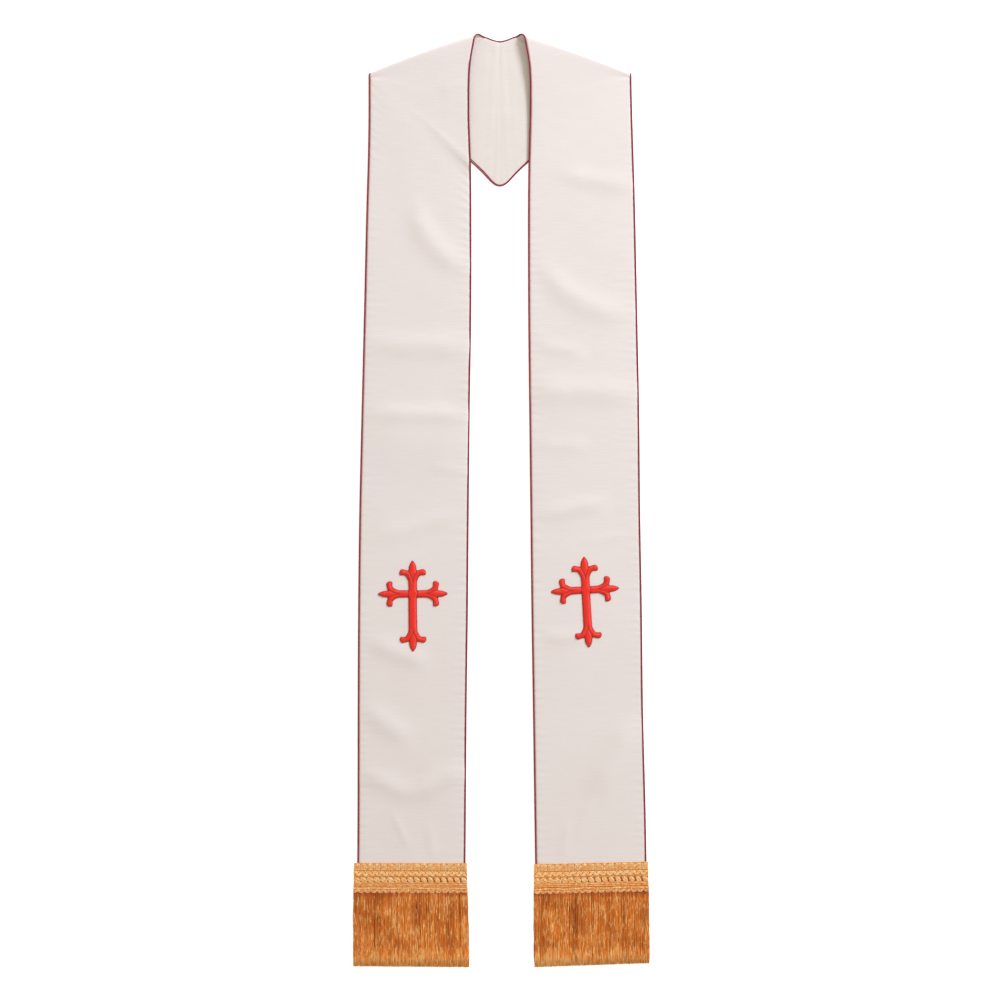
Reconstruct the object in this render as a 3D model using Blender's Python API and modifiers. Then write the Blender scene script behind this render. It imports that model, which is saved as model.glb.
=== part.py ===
"""A clerical stole laid flat: two long halves folded over at the shoulders, the fronts lying on the
pointed back yoke, with corded piping, an embroidered cross, gimp braid and cut fringe on each front.

Metres, +Z up. X runs across the stole, +Y towards the neck, and the cloth lies on Z = 0.
Garment heights are measured down from the peaks of the neck edge, and widths out from the centre
back seam. An edge is the centre line of its piping.
"""

import math
import random
from collections import namedtuple

import bmesh
import bpy
from mathutils import Vector

MM = 0.001
SIDES = {-1: "left", 1: "right"}

# Cloth and seams
CLOTH = 1.2 * MM
LINING = 1.0 * MM
SEAM_GAP = 0.3 * MM
PIPING_RADIUS = 1.2 * MM
PIPING_CLEAR = 0.1 * MM
PIPING_STEP = 2.4 * MM
EDGE_INSET = PIPING_RADIUS + SEAM_GAP
PIPING_HEIGHT = PIPING_RADIUS + PIPING_CLEAR
ACROSS = 10

# The middle of the whole outline, which the model stands on
PLAN_MIDDLE_X = 2.5 * MM
PLAN_MIDDLE_Y = -651.0 * MM

# The shoulder fold, from the outer corner to the neck
FOLD_SHOULDER = Vector((182.7, -52.8)) * MM
FOLD_NECK = Vector((34.4, 1.2)) * MM
FOLD_CROWN = 2.2 * MM
ROLL_AT_SHOULDER = 2.6 * MM
ROLL_AT_NECK = 5.5 * MM
ROLL_STEPS = 8

# The fronts. Each side has its own widths, as the right front leans out a little.
Width = namedtuple("Width", "down left_outer left_inner right_inner right_outer")
FRONT_WIDTHS = [
    Width(0.0, 182.2, 34.4, 34.0, 182.8),
    Width(9.0, 182.3, 37.0, 36.6, 182.9),
    Width(20.0, 182.4, 39.4, 39.0, 183.0),
    Width(40.0, 182.5, 41.8, 41.4, 183.2),
    Width(70.0, 182.6, 43.4, 43.0, 183.5),
    Width(119.0, 182.7, 43.5, 42.8, 184.7),
    Width(175.0, 183.7, 41.5, 41.3, 186.5),
    Width(245.0, 185.8, 40.8, 40.6, 188.5),
    Width(385.0, 189.0, 41.0, 40.9, 191.4),
    Width(525.0, 192.4, 43.1, 42.3, 194.2),
    Width(665.0, 195.6, 44.5, 43.9, 195.6),
    Width(805.0, 197.3, 45.7, 45.4, 198.0),
    Width(945.0, 197.9, 47.5, 47.5, 199.6),
    Width(1085.0, 198.1, 48.5, 49.5, 203.2),
    Width(1200.0, 198.8, 49.4, 51.2, 205.2),
]
Section = namedtuple("Section", "outer_down inner_down outer_lift inner_lift")
SHOULDER_SECTIONS = [
    Section(59.4, 38.0, 4.4, 9.0),
    Section(60.6, 74.0, 3.8, 7.0),
    Section(61.8, 110.0, 3.4, 5.2),
    Section(63.0, 145.0, 3.0, 3.8),
    Section(64.2, 179.6, 2.9, 2.9),
    Section(69.9, 185.1, 2.0, 2.0),
    Section(76.4, 191.0, 0.8, 0.8),
    Section(84.0, 198.0, 0.0, 0.0),
    Section(99.0, 205.0, 0.0, 0.0),
    Section(117.0, 213.0, 0.0, 0.0),
    Section(138.0, 223.0, 0.0, 0.0),
    Section(161.0, 234.0, 0.0, 0.0),
    Section(186.0, 247.0, 0.0, 0.0),
    Section(211.0, 261.0, 0.0, 0.0),
    Section(236.0, 276.0, 0.0, 0.0),
    Section(261.0, 291.0, 0.0, 0.0),
    Section(286.0, 306.0, 0.0, 0.0),
    Section(311.0, 322.0, 0.0, 0.0),
]
STRAIGHT_FROM = 335.0 * MM
HEM_DOWN = {-1: 1193.0 * MM, 1: 1190.0 * MM}
STRAIGHT_STEPS = 40

# The back yoke: its pointed lower edge, its neck edge, and how the sections step to the centre
Point = namedtuple("Point", "out down")
YOKE_EDGE = [
    Point(0.0, 210.4),
    Point(5.0, 209.2),
    Point(11.2, 205.0),
    Point(24.0, 191.4),
    Point(41.0, 175.4),
    Point(110.0, 115.6),
    Point(181.0, 54.2),
    Point(190.0, 46.5),
]
BACK_NECK_EDGE = [
    Point(0.0, 8.8),
    Point(8.4, 7.1),
    Point(16.8, 3.9),
    Point(25.2, 0.9),
    Point(30.8, -0.5),
    Point(40.0, -1.4),
]
YOKE_SHARES = [0.12, 0.26, 0.40, 0.54, 0.66, 0.77, 0.86, 0.93, 0.97, 1.0]
LINING_FROM_SECTION = 1

# Soft folds that lift the fronts: each ridge's middle, its turn from the way outwards, and its size
Ridge = namedtuple("Ridge", "out down turn half_length half_width height")
RIDGES = {
    -1: [
        Ridge(84.0, 292.0, 51.0, 62.0, 18.0, 3.0),
        Ridge(112.0, 424.0, 2.0, 66.0, 19.0, 2.4),
        Ridge(112.0, 521.0, 1.0, 78.0, 18.0, 2.8),
        Ridge(115.0, 667.0, -2.0, 68.0, 19.0, 2.2),
        Ridge(152.0, 945.0, 35.0, 46.0, 18.0, 2.6),
        Ridge(78.0, 1044.0, -34.0, 46.0, 18.0, 2.6),
    ],
    1: [
        Ridge(132.0, 232.0, -7.0, 56.0, 17.0, 1.8),
        Ridge(128.0, 364.0, -25.0, 72.0, 18.0, 3.0),
        Ridge(118.0, 488.0, 2.0, 72.0, 18.0, 2.6),
        Ridge(105.0, 568.0, -4.0, 58.0, 17.0, 2.0),
        Ridge(122.0, 660.0, 3.0, 68.0, 17.0, 2.0),
        Ridge(158.0, 1010.0, 62.0, 76.0, 19.0, 2.6),
    ],
}
RIDGE_TAPER = 1.4

# The embroidered crosses: the crossing's place, the turn of the whole, and its arms
CrossPlace = namedtuple("CrossPlace", "out down turn")
CROSSES = {-1: CrossPlace(121.2, 781.8, 0.8), 1: CrossPlace(120.2, 776.3, 3.6)}
CROSS_THICK = 0.8 * MM
UPRIGHT_HALF_WIDTH = 6.2
BEAM_HALF_WIDTH = 5.4
TOP_ARM = 47.4
SIDE_ARM = 49.0
FOOT_ARM = 81.3
Petal = namedtuple("Petal", "out back_from_tip handle_x handle_y")
FLEUR = [
    Petal(6.2, 31.0, 0.0, 2.0),
    Petal(7.5, 26.2, 0.9, 1.9),
    Petal(12.0, 21.0, 2.0, 0.2),
    Petal(16.8, 20.6, 1.3, 0.5),
    Petal(18.9, 16.6, 0.2, 2.0),
    Petal(14.6, 11.9, -2.4, -0.1),
    Petal(6.0, 13.9, -0.5, 0.2),
    Petal(5.3, 9.2, -0.3, 2.4),
]

# The trimming along each hem: where its sides start, where the strands begin, and where they end
BRAID_DROP = 28.2 * MM
BRAID_THICK = 1.4 * MM
OVER_PIPING = 0.0625
HEADING_DROP = 10.4 * MM
HEADING_THICK = 2.4 * MM
ROOT_DROP = BRAID_DROP + SEAM_GAP + HEADING_DROP
Trim = namedtuple("Trim", "top_out top_down root_out root_down end_out end_down")
TRIMS = {
    (-1, "outer"): Trim(204.5, 1158.2, 204.7, 1197.1, 205.6, 1303.6),
    (-1, "inner"): Trim(45.7, 1158.6, 45.4, 1197.5, 42.4, 1304.9),
    (1, "inner"): Trim(47.7, 1160.0, 47.7, 1198.9, 48.3, 1304.9),
    (1, "outer"): Trim(208.0, 1156.2, 208.5, 1195.1, 210.0, 1299.2),
}
STRANDS_ACROSS = 40
STRAND_SHARE = 0.62
STRAND_THICK = 0.95 * MM
StrandRing = namedtuple("StrandRing", "share upper_height lower_height sway")
STRAND_RINGS = [
    StrandRing(0.14, 2.6, 0.3, 0.2),
    StrandRing(0.55, 1.9, 0.3, 0.6),
    StrandRing(1.0, 1.7, 0.3, 1.0),
]
SWAY = 0.45 * MM
RAGGED_END = 1.5 * MM
SEED = 7

Finish = namedtuple("Finish", "name colour roughness")
IVORY_CLOTH = Finish("ivory_cloth", (0.84, 0.78, 0.72, 1.0), 0.75)
LINING_CLOTH = Finish("lining", (0.82, 0.75, 0.69, 1.0), 0.6)
RED_PIPING = Finish("red_piping", (0.30, 0.03, 0.05, 1.0), 0.6)
RED_THREAD = Finish("red_thread", (0.72, 0.03, 0.02, 1.0), 0.45)
GOLD_BRAID = Finish("gold_braid", (0.79, 0.40, 0.13, 1.0), 0.45)
GOLD_FRINGE = Finish("gold_fringe", (0.56, 0.17, 0.03, 1.0), 0.4)


def smooth(value):
    """A soft step from 0 to 1."""
    held = min(max(value, 0.0), 1.0)
    return held * held * (3 - 2 * held)


def mix(a, b, share):
    return a + (b - a) * share


def along(rows, key, column, at):
    """The smooth value of a table's column where its key column reaches at, all in millimetres."""
    keys = [getattr(row, key) for row in rows]
    values = [getattr(row, column) for row in rows]
    slopes = []
    for i in range(len(keys)):
        low, high = max(i - 1, 0), min(i + 1, len(keys) - 1)
        slopes.append((values[high] - values[low]) / (keys[high] - keys[low]))
    i = 0
    while i < len(keys) - 2 and at > keys[i + 1]:
        i += 1
    span = keys[i + 1] - keys[i]
    t = (at - keys[i]) / span
    return (
        values[i] * (1 + 2 * t) * (1 - t) ** 2
        + slopes[i] * span * t * (1 - t) ** 2
        + values[i + 1] * t * t * (3 - 2 * t)
        - slopes[i + 1] * span * t * t * (1 - t)
    )


def front_edge(side, column, down):
    """A point of a front's outer or inner edge, in the plan, at a height below the neck."""
    out = along(FRONT_WIDTHS, "down", f"{SIDES[side]}_{column}", down / MM) * MM
    return Vector((out, -down))


def back_edge(rows, out):
    """A point of the yoke's pointed edge or of the back neck, in the plan."""
    return Vector((out, -along(rows, "out", "down", out / MM) * MM))


FOLD_LENGTH = (FOLD_NECK - FOLD_SHOULDER).length
FOLD_ALONG = (FOLD_NECK - FOLD_SHOULDER).normalized()
FOLD_OUT = Vector((FOLD_ALONG.y, -FOLD_ALONG.x))


def fold_share(distance):
    return min(max(distance / FOLD_LENGTH, 0.0), 1.0)


def roll_radius(distance):
    """The radius of the shoulder roll to the middle of the cloth, wider towards the neck."""
    return mix(ROLL_AT_SHOULDER, ROLL_AT_NECK, fold_share(distance))


def fold_crown(distance):
    share = fold_share(distance)
    return FOLD_CROWN * 4 * share * (1 - share)


def fold_depth(plan):
    """How far a point of the plan lies inside the line where the roll begins."""
    distance = (plan - FOLD_SHOULDER).dot(FOLD_ALONG)
    inside = fold_crown(distance) - (plan - FOLD_SHOULDER).dot(FOLD_OUT)
    return inside - roll_radius(distance) - CLOTH / 2


def meet_roll(edge, outside, inside):
    """Where an edge, a function of one number, crosses the line where the roll begins."""
    for _ in range(40):
        middle = (outside + inside) / 2
        if fold_depth(edge(middle)) < 0:
            outside = middle
        else:
            inside = middle
    return inside


def roll_point(distance, angle):
    """A point in the middle of the cloth on the roll: 0 on top, half a turn at the bottom."""
    radius = roll_radius(distance)
    reach = fold_crown(distance) - radius - CLOTH / 2 + radius * math.sin(angle)
    plan = FOLD_SHOULDER + FOLD_ALONG * distance + FOLD_OUT * reach
    return Vector((plan.x, plan.y, CLOTH / 2 + radius + radius * math.cos(angle)))


def ridge_height(side, plan):
    """How far the soft folds lift a front at a point of the plan."""
    height = 0.0
    for ridge in RIDGES[side]:
        turn = math.radians(ridge.turn)
        dx = plan.x - ridge.out * MM
        dy = plan.y + ridge.down * MM
        lengthwise = dx * math.cos(turn) + dy * math.sin(turn)
        crosswise = dy * math.cos(turn) - dx * math.sin(turn)
        taper = smooth(RIDGE_TAPER * (1 - abs(lengthwise) / (ridge.half_length * MM)))
        profile = math.exp(-((crosswise / (ridge.half_width * MM)) ** 2))
        height += ridge.height * MM * taper * profile
    return height


def flat_row(first, last, heights):
    """Points across a section between its ends in the plan, with a height for each."""
    row = []
    for i in range(ACROSS + 1):
        share = i / ACROSS
        plan = first.lerp(last, share)
        row.append(Vector((plan.x, plan.y, heights(plan, share))))
    return row


def front_sections(side):
    """The sections of a front, from the hem up to the shoulder roll, piping line to piping line."""
    rows = []
    for i in range(STRAIGHT_STEPS + 1):
        down = mix(HEM_DOWN[side], STRAIGHT_FROM, i / STRAIGHT_STEPS)
        rows.append(Section(down / MM, down / MM, 0.0, 0.0))
    rows += reversed(SHOULDER_SECTIONS)
    made = []
    for row in rows:
        outer = front_edge(side, "outer", row.outer_down * MM)
        inner = front_edge(side, "inner", row.inner_down * MM)

        def height(plan, share, row=row):
            lift = mix(row.outer_lift, row.inner_lift, share) * MM
            return CLOTH / 2 + lift + ridge_height(side, plan)

        made.append(flat_row(outer, inner, height))
    return made


def roll_sections(side):
    """The sections round the shoulder roll, and where the two back edges leave it."""
    outer_down = meet_roll(lambda down: front_edge(side, "outer", down), 40 * MM, 70 * MM)
    inner_down = meet_roll(lambda down: front_edge(side, "inner", down), 0, 30 * MM)
    yoke_from = meet_roll(lambda out: back_edge(YOKE_EDGE, out), 188 * MM, 150 * MM)
    neck_from = meet_roll(lambda out: back_edge(BACK_NECK_EDGE, out), 38 * MM, 8 * MM)
    corners = [
        front_edge(side, "outer", outer_down),
        front_edge(side, "inner", inner_down),
        back_edge(YOKE_EDGE, yoke_from),
        back_edge(BACK_NECK_EDGE, neck_from),
    ]
    outer_top, inner_top, outer_back, neck_back = [(p - FOLD_SHOULDER).dot(FOLD_ALONG) for p in corners]
    made = []
    for k in range(ROLL_STEPS + 1):
        share = k / ROLL_STEPS
        first, last = mix(outer_top, outer_back, share), mix(inner_top, neck_back, share)
        row = [roll_point(mix(first, last, i / ACROSS), math.pi * share) for i in range(ACROSS + 1)]
        made.append(row)
    return made, yoke_from, neck_from


def yoke_sections(yoke_from, neck_from):
    """The sections of half the yoke, from the roll to the centre back seam, lying on the floor."""
    made = []
    for share in YOKE_SHARES:
        outer = back_edge(YOKE_EDGE, mix(yoke_from, SEAM_GAP / 2, share))
        neck = back_edge(BACK_NECK_EDGE, mix(neck_from, SEAM_GAP / 2, share))
        made.append(flat_row(outer, neck, lambda plan, across: CLOTH / 2))
    return made


def inset_ends(rows):
    """Draws both ends of each section in from the piping's centre line, square to the edge but
    never into the floor. The last one, at the centre back seam, stays in its plane."""
    made = []
    for i, row in enumerate(rows):
        before, after = rows[max(i - 1, 0)], rows[min(i + 1, len(rows) - 1)]
        ends = []
        for at, toward in ((0, 1), (-1, -2)):
            run = (after[at] - before[at]).normalized()
            step = row[toward] - row[at]
            inward = step - run * step.dot(run)
            if i == len(rows) - 1:
                inward = Vector((0.0, step.y, 0.0))
            end = row[at] + inward.normalized() * EDGE_INSET
            end.z = max(end.z, CLOTH / 2)
            ends.append(end)
        drawn_in = [ends[0].lerp(ends[1], k / ACROSS) for k in range(ACROSS + 1)]
        for k in range(1, ACROSS):
            drawn_in[k] += row[k] - row[0].lerp(row[-1], k / ACROSS)
        made.append(drawn_in)
    return made


def seamed(last, following):
    """The row where the yoke starts: the end of the shoulder roll, drawn back by the seam's gap."""
    return [a + (b - a).normalized() * SEAM_GAP for a, b in zip(last, following)]


def placed(side, point):
    """A point of the right-hand pattern, turned to its side and set about the plan's middle."""
    return Vector((side * point.x - PLAN_MIDDLE_X, point.y - PLAN_MIDDLE_Y, point.z))


def material(finish):
    made = bpy.data.materials.new(finish.name)
    made.use_nodes = True
    shader = made.node_tree.nodes["Principled BSDF"]
    shader.inputs["Base Color"].default_value = finish.colour
    shader.inputs["Roughness"].default_value = finish.roughness
    return made


def finished(name, mesh, cloth, collection):
    made = bpy.data.objects.new(name, mesh)
    made.data.materials.append(cloth)
    collection.objects.link(made)
    return made


def sheet(name, rows, thickness, cloth, collection):
    """A wall of cloth through its sections, which run through the middle of its thickness."""
    shape = bmesh.new()
    grid = [[shape.verts.new(point) for point in row] for row in rows]
    for lower, upper in zip(grid, grid[1:]):
        for k in range(len(lower) - 1):
            shape.faces.new((lower[k], lower[k + 1], upper[k + 1], upper[k])).smooth = True
    mesh = bpy.data.meshes.new(name)
    shape.to_mesh(mesh)
    shape.free()
    made = finished(name, mesh, cloth, collection)
    wall = made.modifiers.new("wall", "SOLIDIFY")
    wall.thickness = thickness
    wall.offset = 0.0
    return made


def spaced(points, least):
    """The points of a line without those that crowd the one before."""
    kept = [points[0]]
    for point in points[1:-1]:
        if (point - kept[-1]).length >= least and (points[-1] - point).length >= least:
            kept.append(point)
    return kept + [points[-1]]


def cord(name, points, radius, cloth, collection):
    line = bpy.data.curves.new(name, "CURVE")
    line.dimensions = "3D"
    line.bevel_depth = radius
    line.bevel_resolution = 2
    line.use_fill_caps = True
    spline = line.splines.new("POLY")
    spline.points.add(len(points) - 1)
    for place, point in zip(spline.points, points):
        place.co = (*point, 1.0)
    return finished(name, line, cloth, collection)


def piping_line(rows, at, floor_rows):
    """One edge's piping, from the hem to the centre back: it leans to the upper side of the cloth."""
    points = []
    roll_ends = len(rows) - floor_rows
    roll_starts = roll_ends - ROLL_STEPS - 1
    for i, row in enumerate(rows):
        point = row[at].copy()
        if roll_starts <= i < roll_ends:
            angle = math.pi * (i - roll_starts) / ROLL_STEPS
            point.z += (PIPING_HEIGHT - CLOTH / 2) * (0.5 - 0.5 * math.cos(angle))
        elif i >= roll_ends:
            point.z = PIPING_HEIGHT
        else:
            point.z += PIPING_HEIGHT - CLOTH / 2
        points.append(point)
    return points


def whole_piping(name, halves, at, cloth, collection):
    """The piping of one edge, from one hem round the neck or the yoke's point to the other hem."""
    line = []
    for side, rows in halves.items():
        edge = piping_line(rows, at, len(YOKE_SHARES))
        edge[-1].x = 0.0
        edge = [placed(side, point) for point in edge]
        line += edge if not line else edge[-2::-1]
    return cord(name, spaced(line, PIPING_STEP), PIPING_RADIUS, cloth, collection)


def arm_outline(half_width, length):
    """One side of an arm that points up, from the crossing to the tip: (point, handle) pairs."""
    corners = []
    for row in FLEUR:
        out = row.out - (UPRIGHT_HALF_WIDTH - half_width)
        corners.append((Vector((out, length - row.back_from_tip)), Vector((row.handle_x, row.handle_y))))
    return corners


def cross_corners():
    """The closed outline of a cross as (point, handle) pairs, anticlockwise from the foot's right."""
    made = []
    arms = [
        (0, UPRIGHT_HALF_WIDTH, TOP_ARM),
        (1, BEAM_HALF_WIDTH, SIDE_ARM),
        (2, UPRIGHT_HALF_WIDTH, FOOT_ARM),
        (3, BEAM_HALF_WIDTH, SIDE_ARM),
    ]
    for quarter, half_width, length in arms:
        rising = arm_outline(half_width, length)
        falling = [(Vector((-p.x, p.y)), Vector((h.x, -h.y))) for p, h in reversed(rising)]
        tip = [(Vector((0.0, length)), Vector((-0.6, 0.0)))]
        inner_x = half_width
        inner_y = BEAM_HALF_WIDTH if quarter % 2 == 0 else UPRIGHT_HALF_WIDTH
        crotch = [(Vector((inner_x, inner_y)), Vector((0.0, 0.6)))]
        for point, handle in crotch + rising + tip + falling:
            for _ in range(quarter):
                point, handle = Vector((-point.y, point.x)), Vector((-handle.y, handle.x))
            made.append((point, handle))
    return made


def cross(name, side, thread, collection):
    """An embroidered cross with fleur ends, a flat plate just above its front."""
    place = CROSSES[side]
    outline = bpy.data.curves.new(name, "CURVE")
    outline.dimensions = "2D"
    outline.fill_mode = "BOTH"
    outline.extrude = CROSS_THICK / 2
    outline.resolution_u = 4
    spline = outline.splines.new("BEZIER")
    corners = cross_corners()
    spline.bezier_points.add(len(corners) - 1)
    spline.use_cyclic_u = True
    for knot, (point, handle) in zip(spline.bezier_points, corners):
        knot.handle_left_type = knot.handle_right_type = "FREE"
        knot.co = (*(point * MM), 0.0)
        knot.handle_left = (*((point - handle) * MM), 0.0)
        knot.handle_right = (*((point + handle) * MM), 0.0)
    made = finished(name, outline, thread, collection)
    plan = placed(side, Vector((place.out * MM, -place.down * MM, 0.0)))
    made.location = (plan.x, plan.y, CLOTH + SEAM_GAP + CROSS_THICK / 2)
    made.rotation_euler.z = math.radians(place.turn)
    return made


def trim_corner(side, column, drop):
    """A corner of the trimming in the plan, at a drop below the braid's upper edge."""
    trim = TRIMS[side, column]
    share = drop / ROOT_DROP
    out = mix(trim.top_out, trim.root_out, share)
    down = mix(trim.top_down, trim.root_down, share)
    return Vector((out, -down)) * MM


def braid(name, side, gold, collection):
    """The gimp braid over the hem. It lies on the front and rides over the piping at each side."""
    low = CLOTH + SEAM_GAP + BRAID_THICK / 2
    high = PIPING_HEIGHT + PIPING_RADIUS + SEAM_GAP + BRAID_THICK / 2
    across = [0.0, OVER_PIPING, 0.09, 0.3, 0.5, 0.7, 0.91, 1 - OVER_PIPING, 1.0]
    rows = []
    for drop in (0.0, 0.5, 1.0):
        inner = trim_corner(side, "inner", BRAID_DROP * drop)
        outer = trim_corner(side, "outer", BRAID_DROP * drop)
        row = []
        for share in across:
            plan = inner.lerp(outer, share)
            height = high if min(share, 1 - share) <= OVER_PIPING else low
            row.append(placed(side, Vector((plan.x, plan.y, height))))
        rows.append(row)
    return sheet(name, rows, BRAID_THICK, gold, collection)


def strand_end(side, column):
    """Where the outermost strand of one side of the fringe ends."""
    trim = TRIMS[side, column]
    return placed(side, Vector((trim.end_out, -trim.end_down, 0.0)) * MM)


def strand_columns():
    """Shares of the heading's width where a strand or a gap begins or ends."""
    pitch = 1.0 / STRANDS_ACROSS
    lines = [0.0]
    for i in range(STRANDS_ACROSS):
        middle = (i + 0.5) * pitch
        lines += [middle - pitch * STRAND_SHARE / 2, middle + pitch * STRAND_SHARE / 2]
    return lines + [1.0]


def fringe(name, side, gold, collection):
    """The fringe: a heading whose lower face carries two layers of strands, extruded from it."""
    chance = random.Random(SEED + side)
    base = PIPING_HEIGHT + PIPING_RADIUS + SEAM_GAP
    levels = [0.0, STRAND_THICK, HEADING_THICK - STRAND_THICK, HEADING_THICK]
    inner, outer = trim_corner(side, "inner", ROOT_DROP), trim_corner(side, "outer", ROOT_DROP)
    shape = bmesh.new()
    columns = strand_columns()
    grid = []
    for level in levels:
        plans = [inner.lerp(outer, share) for share in columns]
        grid.append([shape.verts.new(placed(side, Vector((p.x, p.y, base + level)))) for p in plans])
    strands = []
    for layer, (low_row, high_row) in enumerate(zip(grid, grid[1:])):
        for i in range(len(columns) - 1):
            face = shape.faces.new((low_row[i], low_row[i + 1], high_row[i + 1], high_row[i]))
            if i % 2 == 1 and layer != 1:
                strands.append((face, layer == 2, (columns[i] + columns[i + 1]) / 2))
    border = [edge for edge in shape.edges if edge.is_boundary]
    grown = bmesh.ops.extrude_edge_only(shape, edges=border)["geom"]
    back_corners = [item for item in grown if isinstance(item, bmesh.types.BMVert)]
    back_border = [item for item in grown if isinstance(item, bmesh.types.BMEdge)]
    bmesh.ops.translate(shape, verts=back_corners, vec=(0.0, HEADING_DROP, 0.0))
    bmesh.ops.contextual_create(shape, geom=back_border)
    inner_end, outer_end = strand_end(side, "inner"), strand_end(side, "outer")
    for face, upper, share in strands:
        ragged = RAGGED_END * chance.random()
        lean = chance.uniform(-SWAY, SWAY)
        start = face.calc_center_median()
        end = inner_end.lerp(outer_end, share)
        for ring in STRAND_RINGS:
            face = bmesh.ops.extrude_discrete_faces(shape, faces=[face])["faces"][0]
            height = (ring.upper_height if upper else ring.lower_height) * MM + STRAND_THICK / 2
            goal = start.lerp(end, ring.share) + Vector((lean * ring.sway, ragged * ring.share, 0.0))
            goal.z = height
            bmesh.ops.translate(shape, verts=face.verts[:], vec=goal - face.calc_center_median())
    bmesh.ops.recalc_face_normals(shape, faces=shape.faces[:])
    mesh = bpy.data.meshes.new(name)
    shape.to_mesh(mesh)
    shape.free()
    return finished(name, mesh, gold, collection)


def main():
    for old in list(bpy.data.objects):
        bpy.data.objects.remove(old, do_unlink=True)
    stole = bpy.data.collections.new("stole")
    bpy.context.scene.collection.children.link(stole)
    ivory = material(IVORY_CLOTH)
    lining = material(LINING_CLOTH)
    red_cord = material(RED_PIPING)
    red_thread = material(RED_THREAD)
    gold_braid = material(GOLD_BRAID)
    gold_fringe = material(GOLD_FRINGE)

    halves = {}
    for side, word in SIDES.items():
        rolled, yoke_from, neck_from = roll_sections(side)
        rows = front_sections(side) + rolled + yoke_sections(yoke_from, neck_from)
        halves[side] = rows
        wall = [[placed(side, point) for point in row] for row in inset_ends(rows)]
        yoke_starts = len(wall) - len(YOKE_SHARES)
        sheet(f"front_{word}", wall[:yoke_starts], CLOTH, ivory, stole)
        seam_row = seamed(wall[yoke_starts - 1], wall[yoke_starts])
        sheet(f"yoke_{word}", [seam_row] + wall[yoke_starts:], CLOTH, ivory, stole)

        lift = Vector((0.0, 0.0, CLOTH / 2 + SEAM_GAP + LINING / 2))
        inner_rows = wall[yoke_starts + LINING_FROM_SECTION:]
        lining_rows = [[point + lift for point in row] for row in inner_rows]
        sheet(f"yoke_lining_{word}", lining_rows, LINING, lining, stole)

        cross(f"cross_{word}", side, red_thread, stole)
        braid(f"braid_{word}", side, gold_braid, stole)
        fringe(f"fringe_{word}", side, gold_fringe, stole)
    whole_piping("outer_piping", halves, 0, red_cord, stole)
    whole_piping("neck_piping", halves, -1, red_cord, stole)


main()
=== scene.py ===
"""The looks of a clerical stole that lies flat: two ivory halves folded over at the shoulders, with
crimson piping, an embroidered cross, gimp braid and cut fringe on each front.

Metres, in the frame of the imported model: X across, +Y towards the neck, Z up from the surface.
Sizes that are multiplied by MM are in metres too, and the other lengths in the tables and fields
are in mm.
The cut is laid out on the right-hand half, out from the centre back seam and down from the peaks
of the neck edge. An edge is the centre line of its piping.
"""

import logging
import math
import random
from collections.abc import Callable, Sequence
from dataclasses import dataclass, field
from enum import Enum
from typing import Any, NamedTuple

import bmesh
import bpy
import numpy as np
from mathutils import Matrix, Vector, noise


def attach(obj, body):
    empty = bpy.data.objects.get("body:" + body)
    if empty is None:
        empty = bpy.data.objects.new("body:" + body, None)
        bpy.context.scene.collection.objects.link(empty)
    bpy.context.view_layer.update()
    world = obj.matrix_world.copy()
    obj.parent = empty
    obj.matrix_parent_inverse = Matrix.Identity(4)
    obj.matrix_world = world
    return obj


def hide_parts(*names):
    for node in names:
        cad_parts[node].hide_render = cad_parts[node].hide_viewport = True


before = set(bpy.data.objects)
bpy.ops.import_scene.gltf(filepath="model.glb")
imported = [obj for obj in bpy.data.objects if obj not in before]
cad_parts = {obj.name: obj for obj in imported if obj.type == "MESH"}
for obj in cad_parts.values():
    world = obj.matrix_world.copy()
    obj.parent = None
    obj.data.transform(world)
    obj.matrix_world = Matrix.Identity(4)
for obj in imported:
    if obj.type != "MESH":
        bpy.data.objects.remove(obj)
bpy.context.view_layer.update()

LOG = logging.getLogger("stole")
BODY = "root"
MM = 0.001


class Side(Enum):
    """The half of the stole at the left or the right of the view from above."""

    LEFT = -1
    RIGHT = 1

    @property
    def word(self) -> str:
        """The side's name in the names of pieces and solids."""
        return self.name.lower()


class Width(NamedTuple):
    """The edges of both fronts at one height, in mm."""

    down: float
    left_outer: float
    left_inner: float
    right_inner: float
    right_outer: float


WIDTHS = [
    Width(0.0, 182.2, 34.4, 34.0, 182.8),
    Width(9.0, 182.3, 37.0, 36.6, 182.9),
    Width(20.0, 182.4, 39.4, 39.0, 183.0),
    Width(40.0, 182.5, 41.8, 41.4, 183.2),
    Width(70.0, 182.6, 43.4, 43.0, 183.5),
    Width(119.0, 182.7, 43.5, 42.8, 184.7),
    Width(175.0, 183.7, 41.5, 41.3, 186.5),
    Width(245.0, 185.8, 40.8, 40.6, 188.5),
    Width(385.0, 189.0, 41.0, 40.9, 191.4),
    Width(525.0, 192.4, 43.1, 42.3, 194.2),
    Width(665.0, 195.6, 44.5, 43.9, 195.6),
    Width(805.0, 197.3, 45.7, 45.4, 198.0),
    Width(945.0, 197.9, 47.5, 47.5, 199.6),
    Width(1085.0, 198.1, 48.5, 49.5, 203.2),
    Width(1200.0, 198.8, 49.4, 51.2, 205.2),
]


class Section(NamedTuple):
    """A line across a front near the shoulder, and how high its ends and middle lie, in mm."""

    outer_down: float
    inner_down: float
    left_outer: float
    left_middle: float
    left_inner: float
    right_outer: float
    right_middle: float
    right_inner: float


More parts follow.
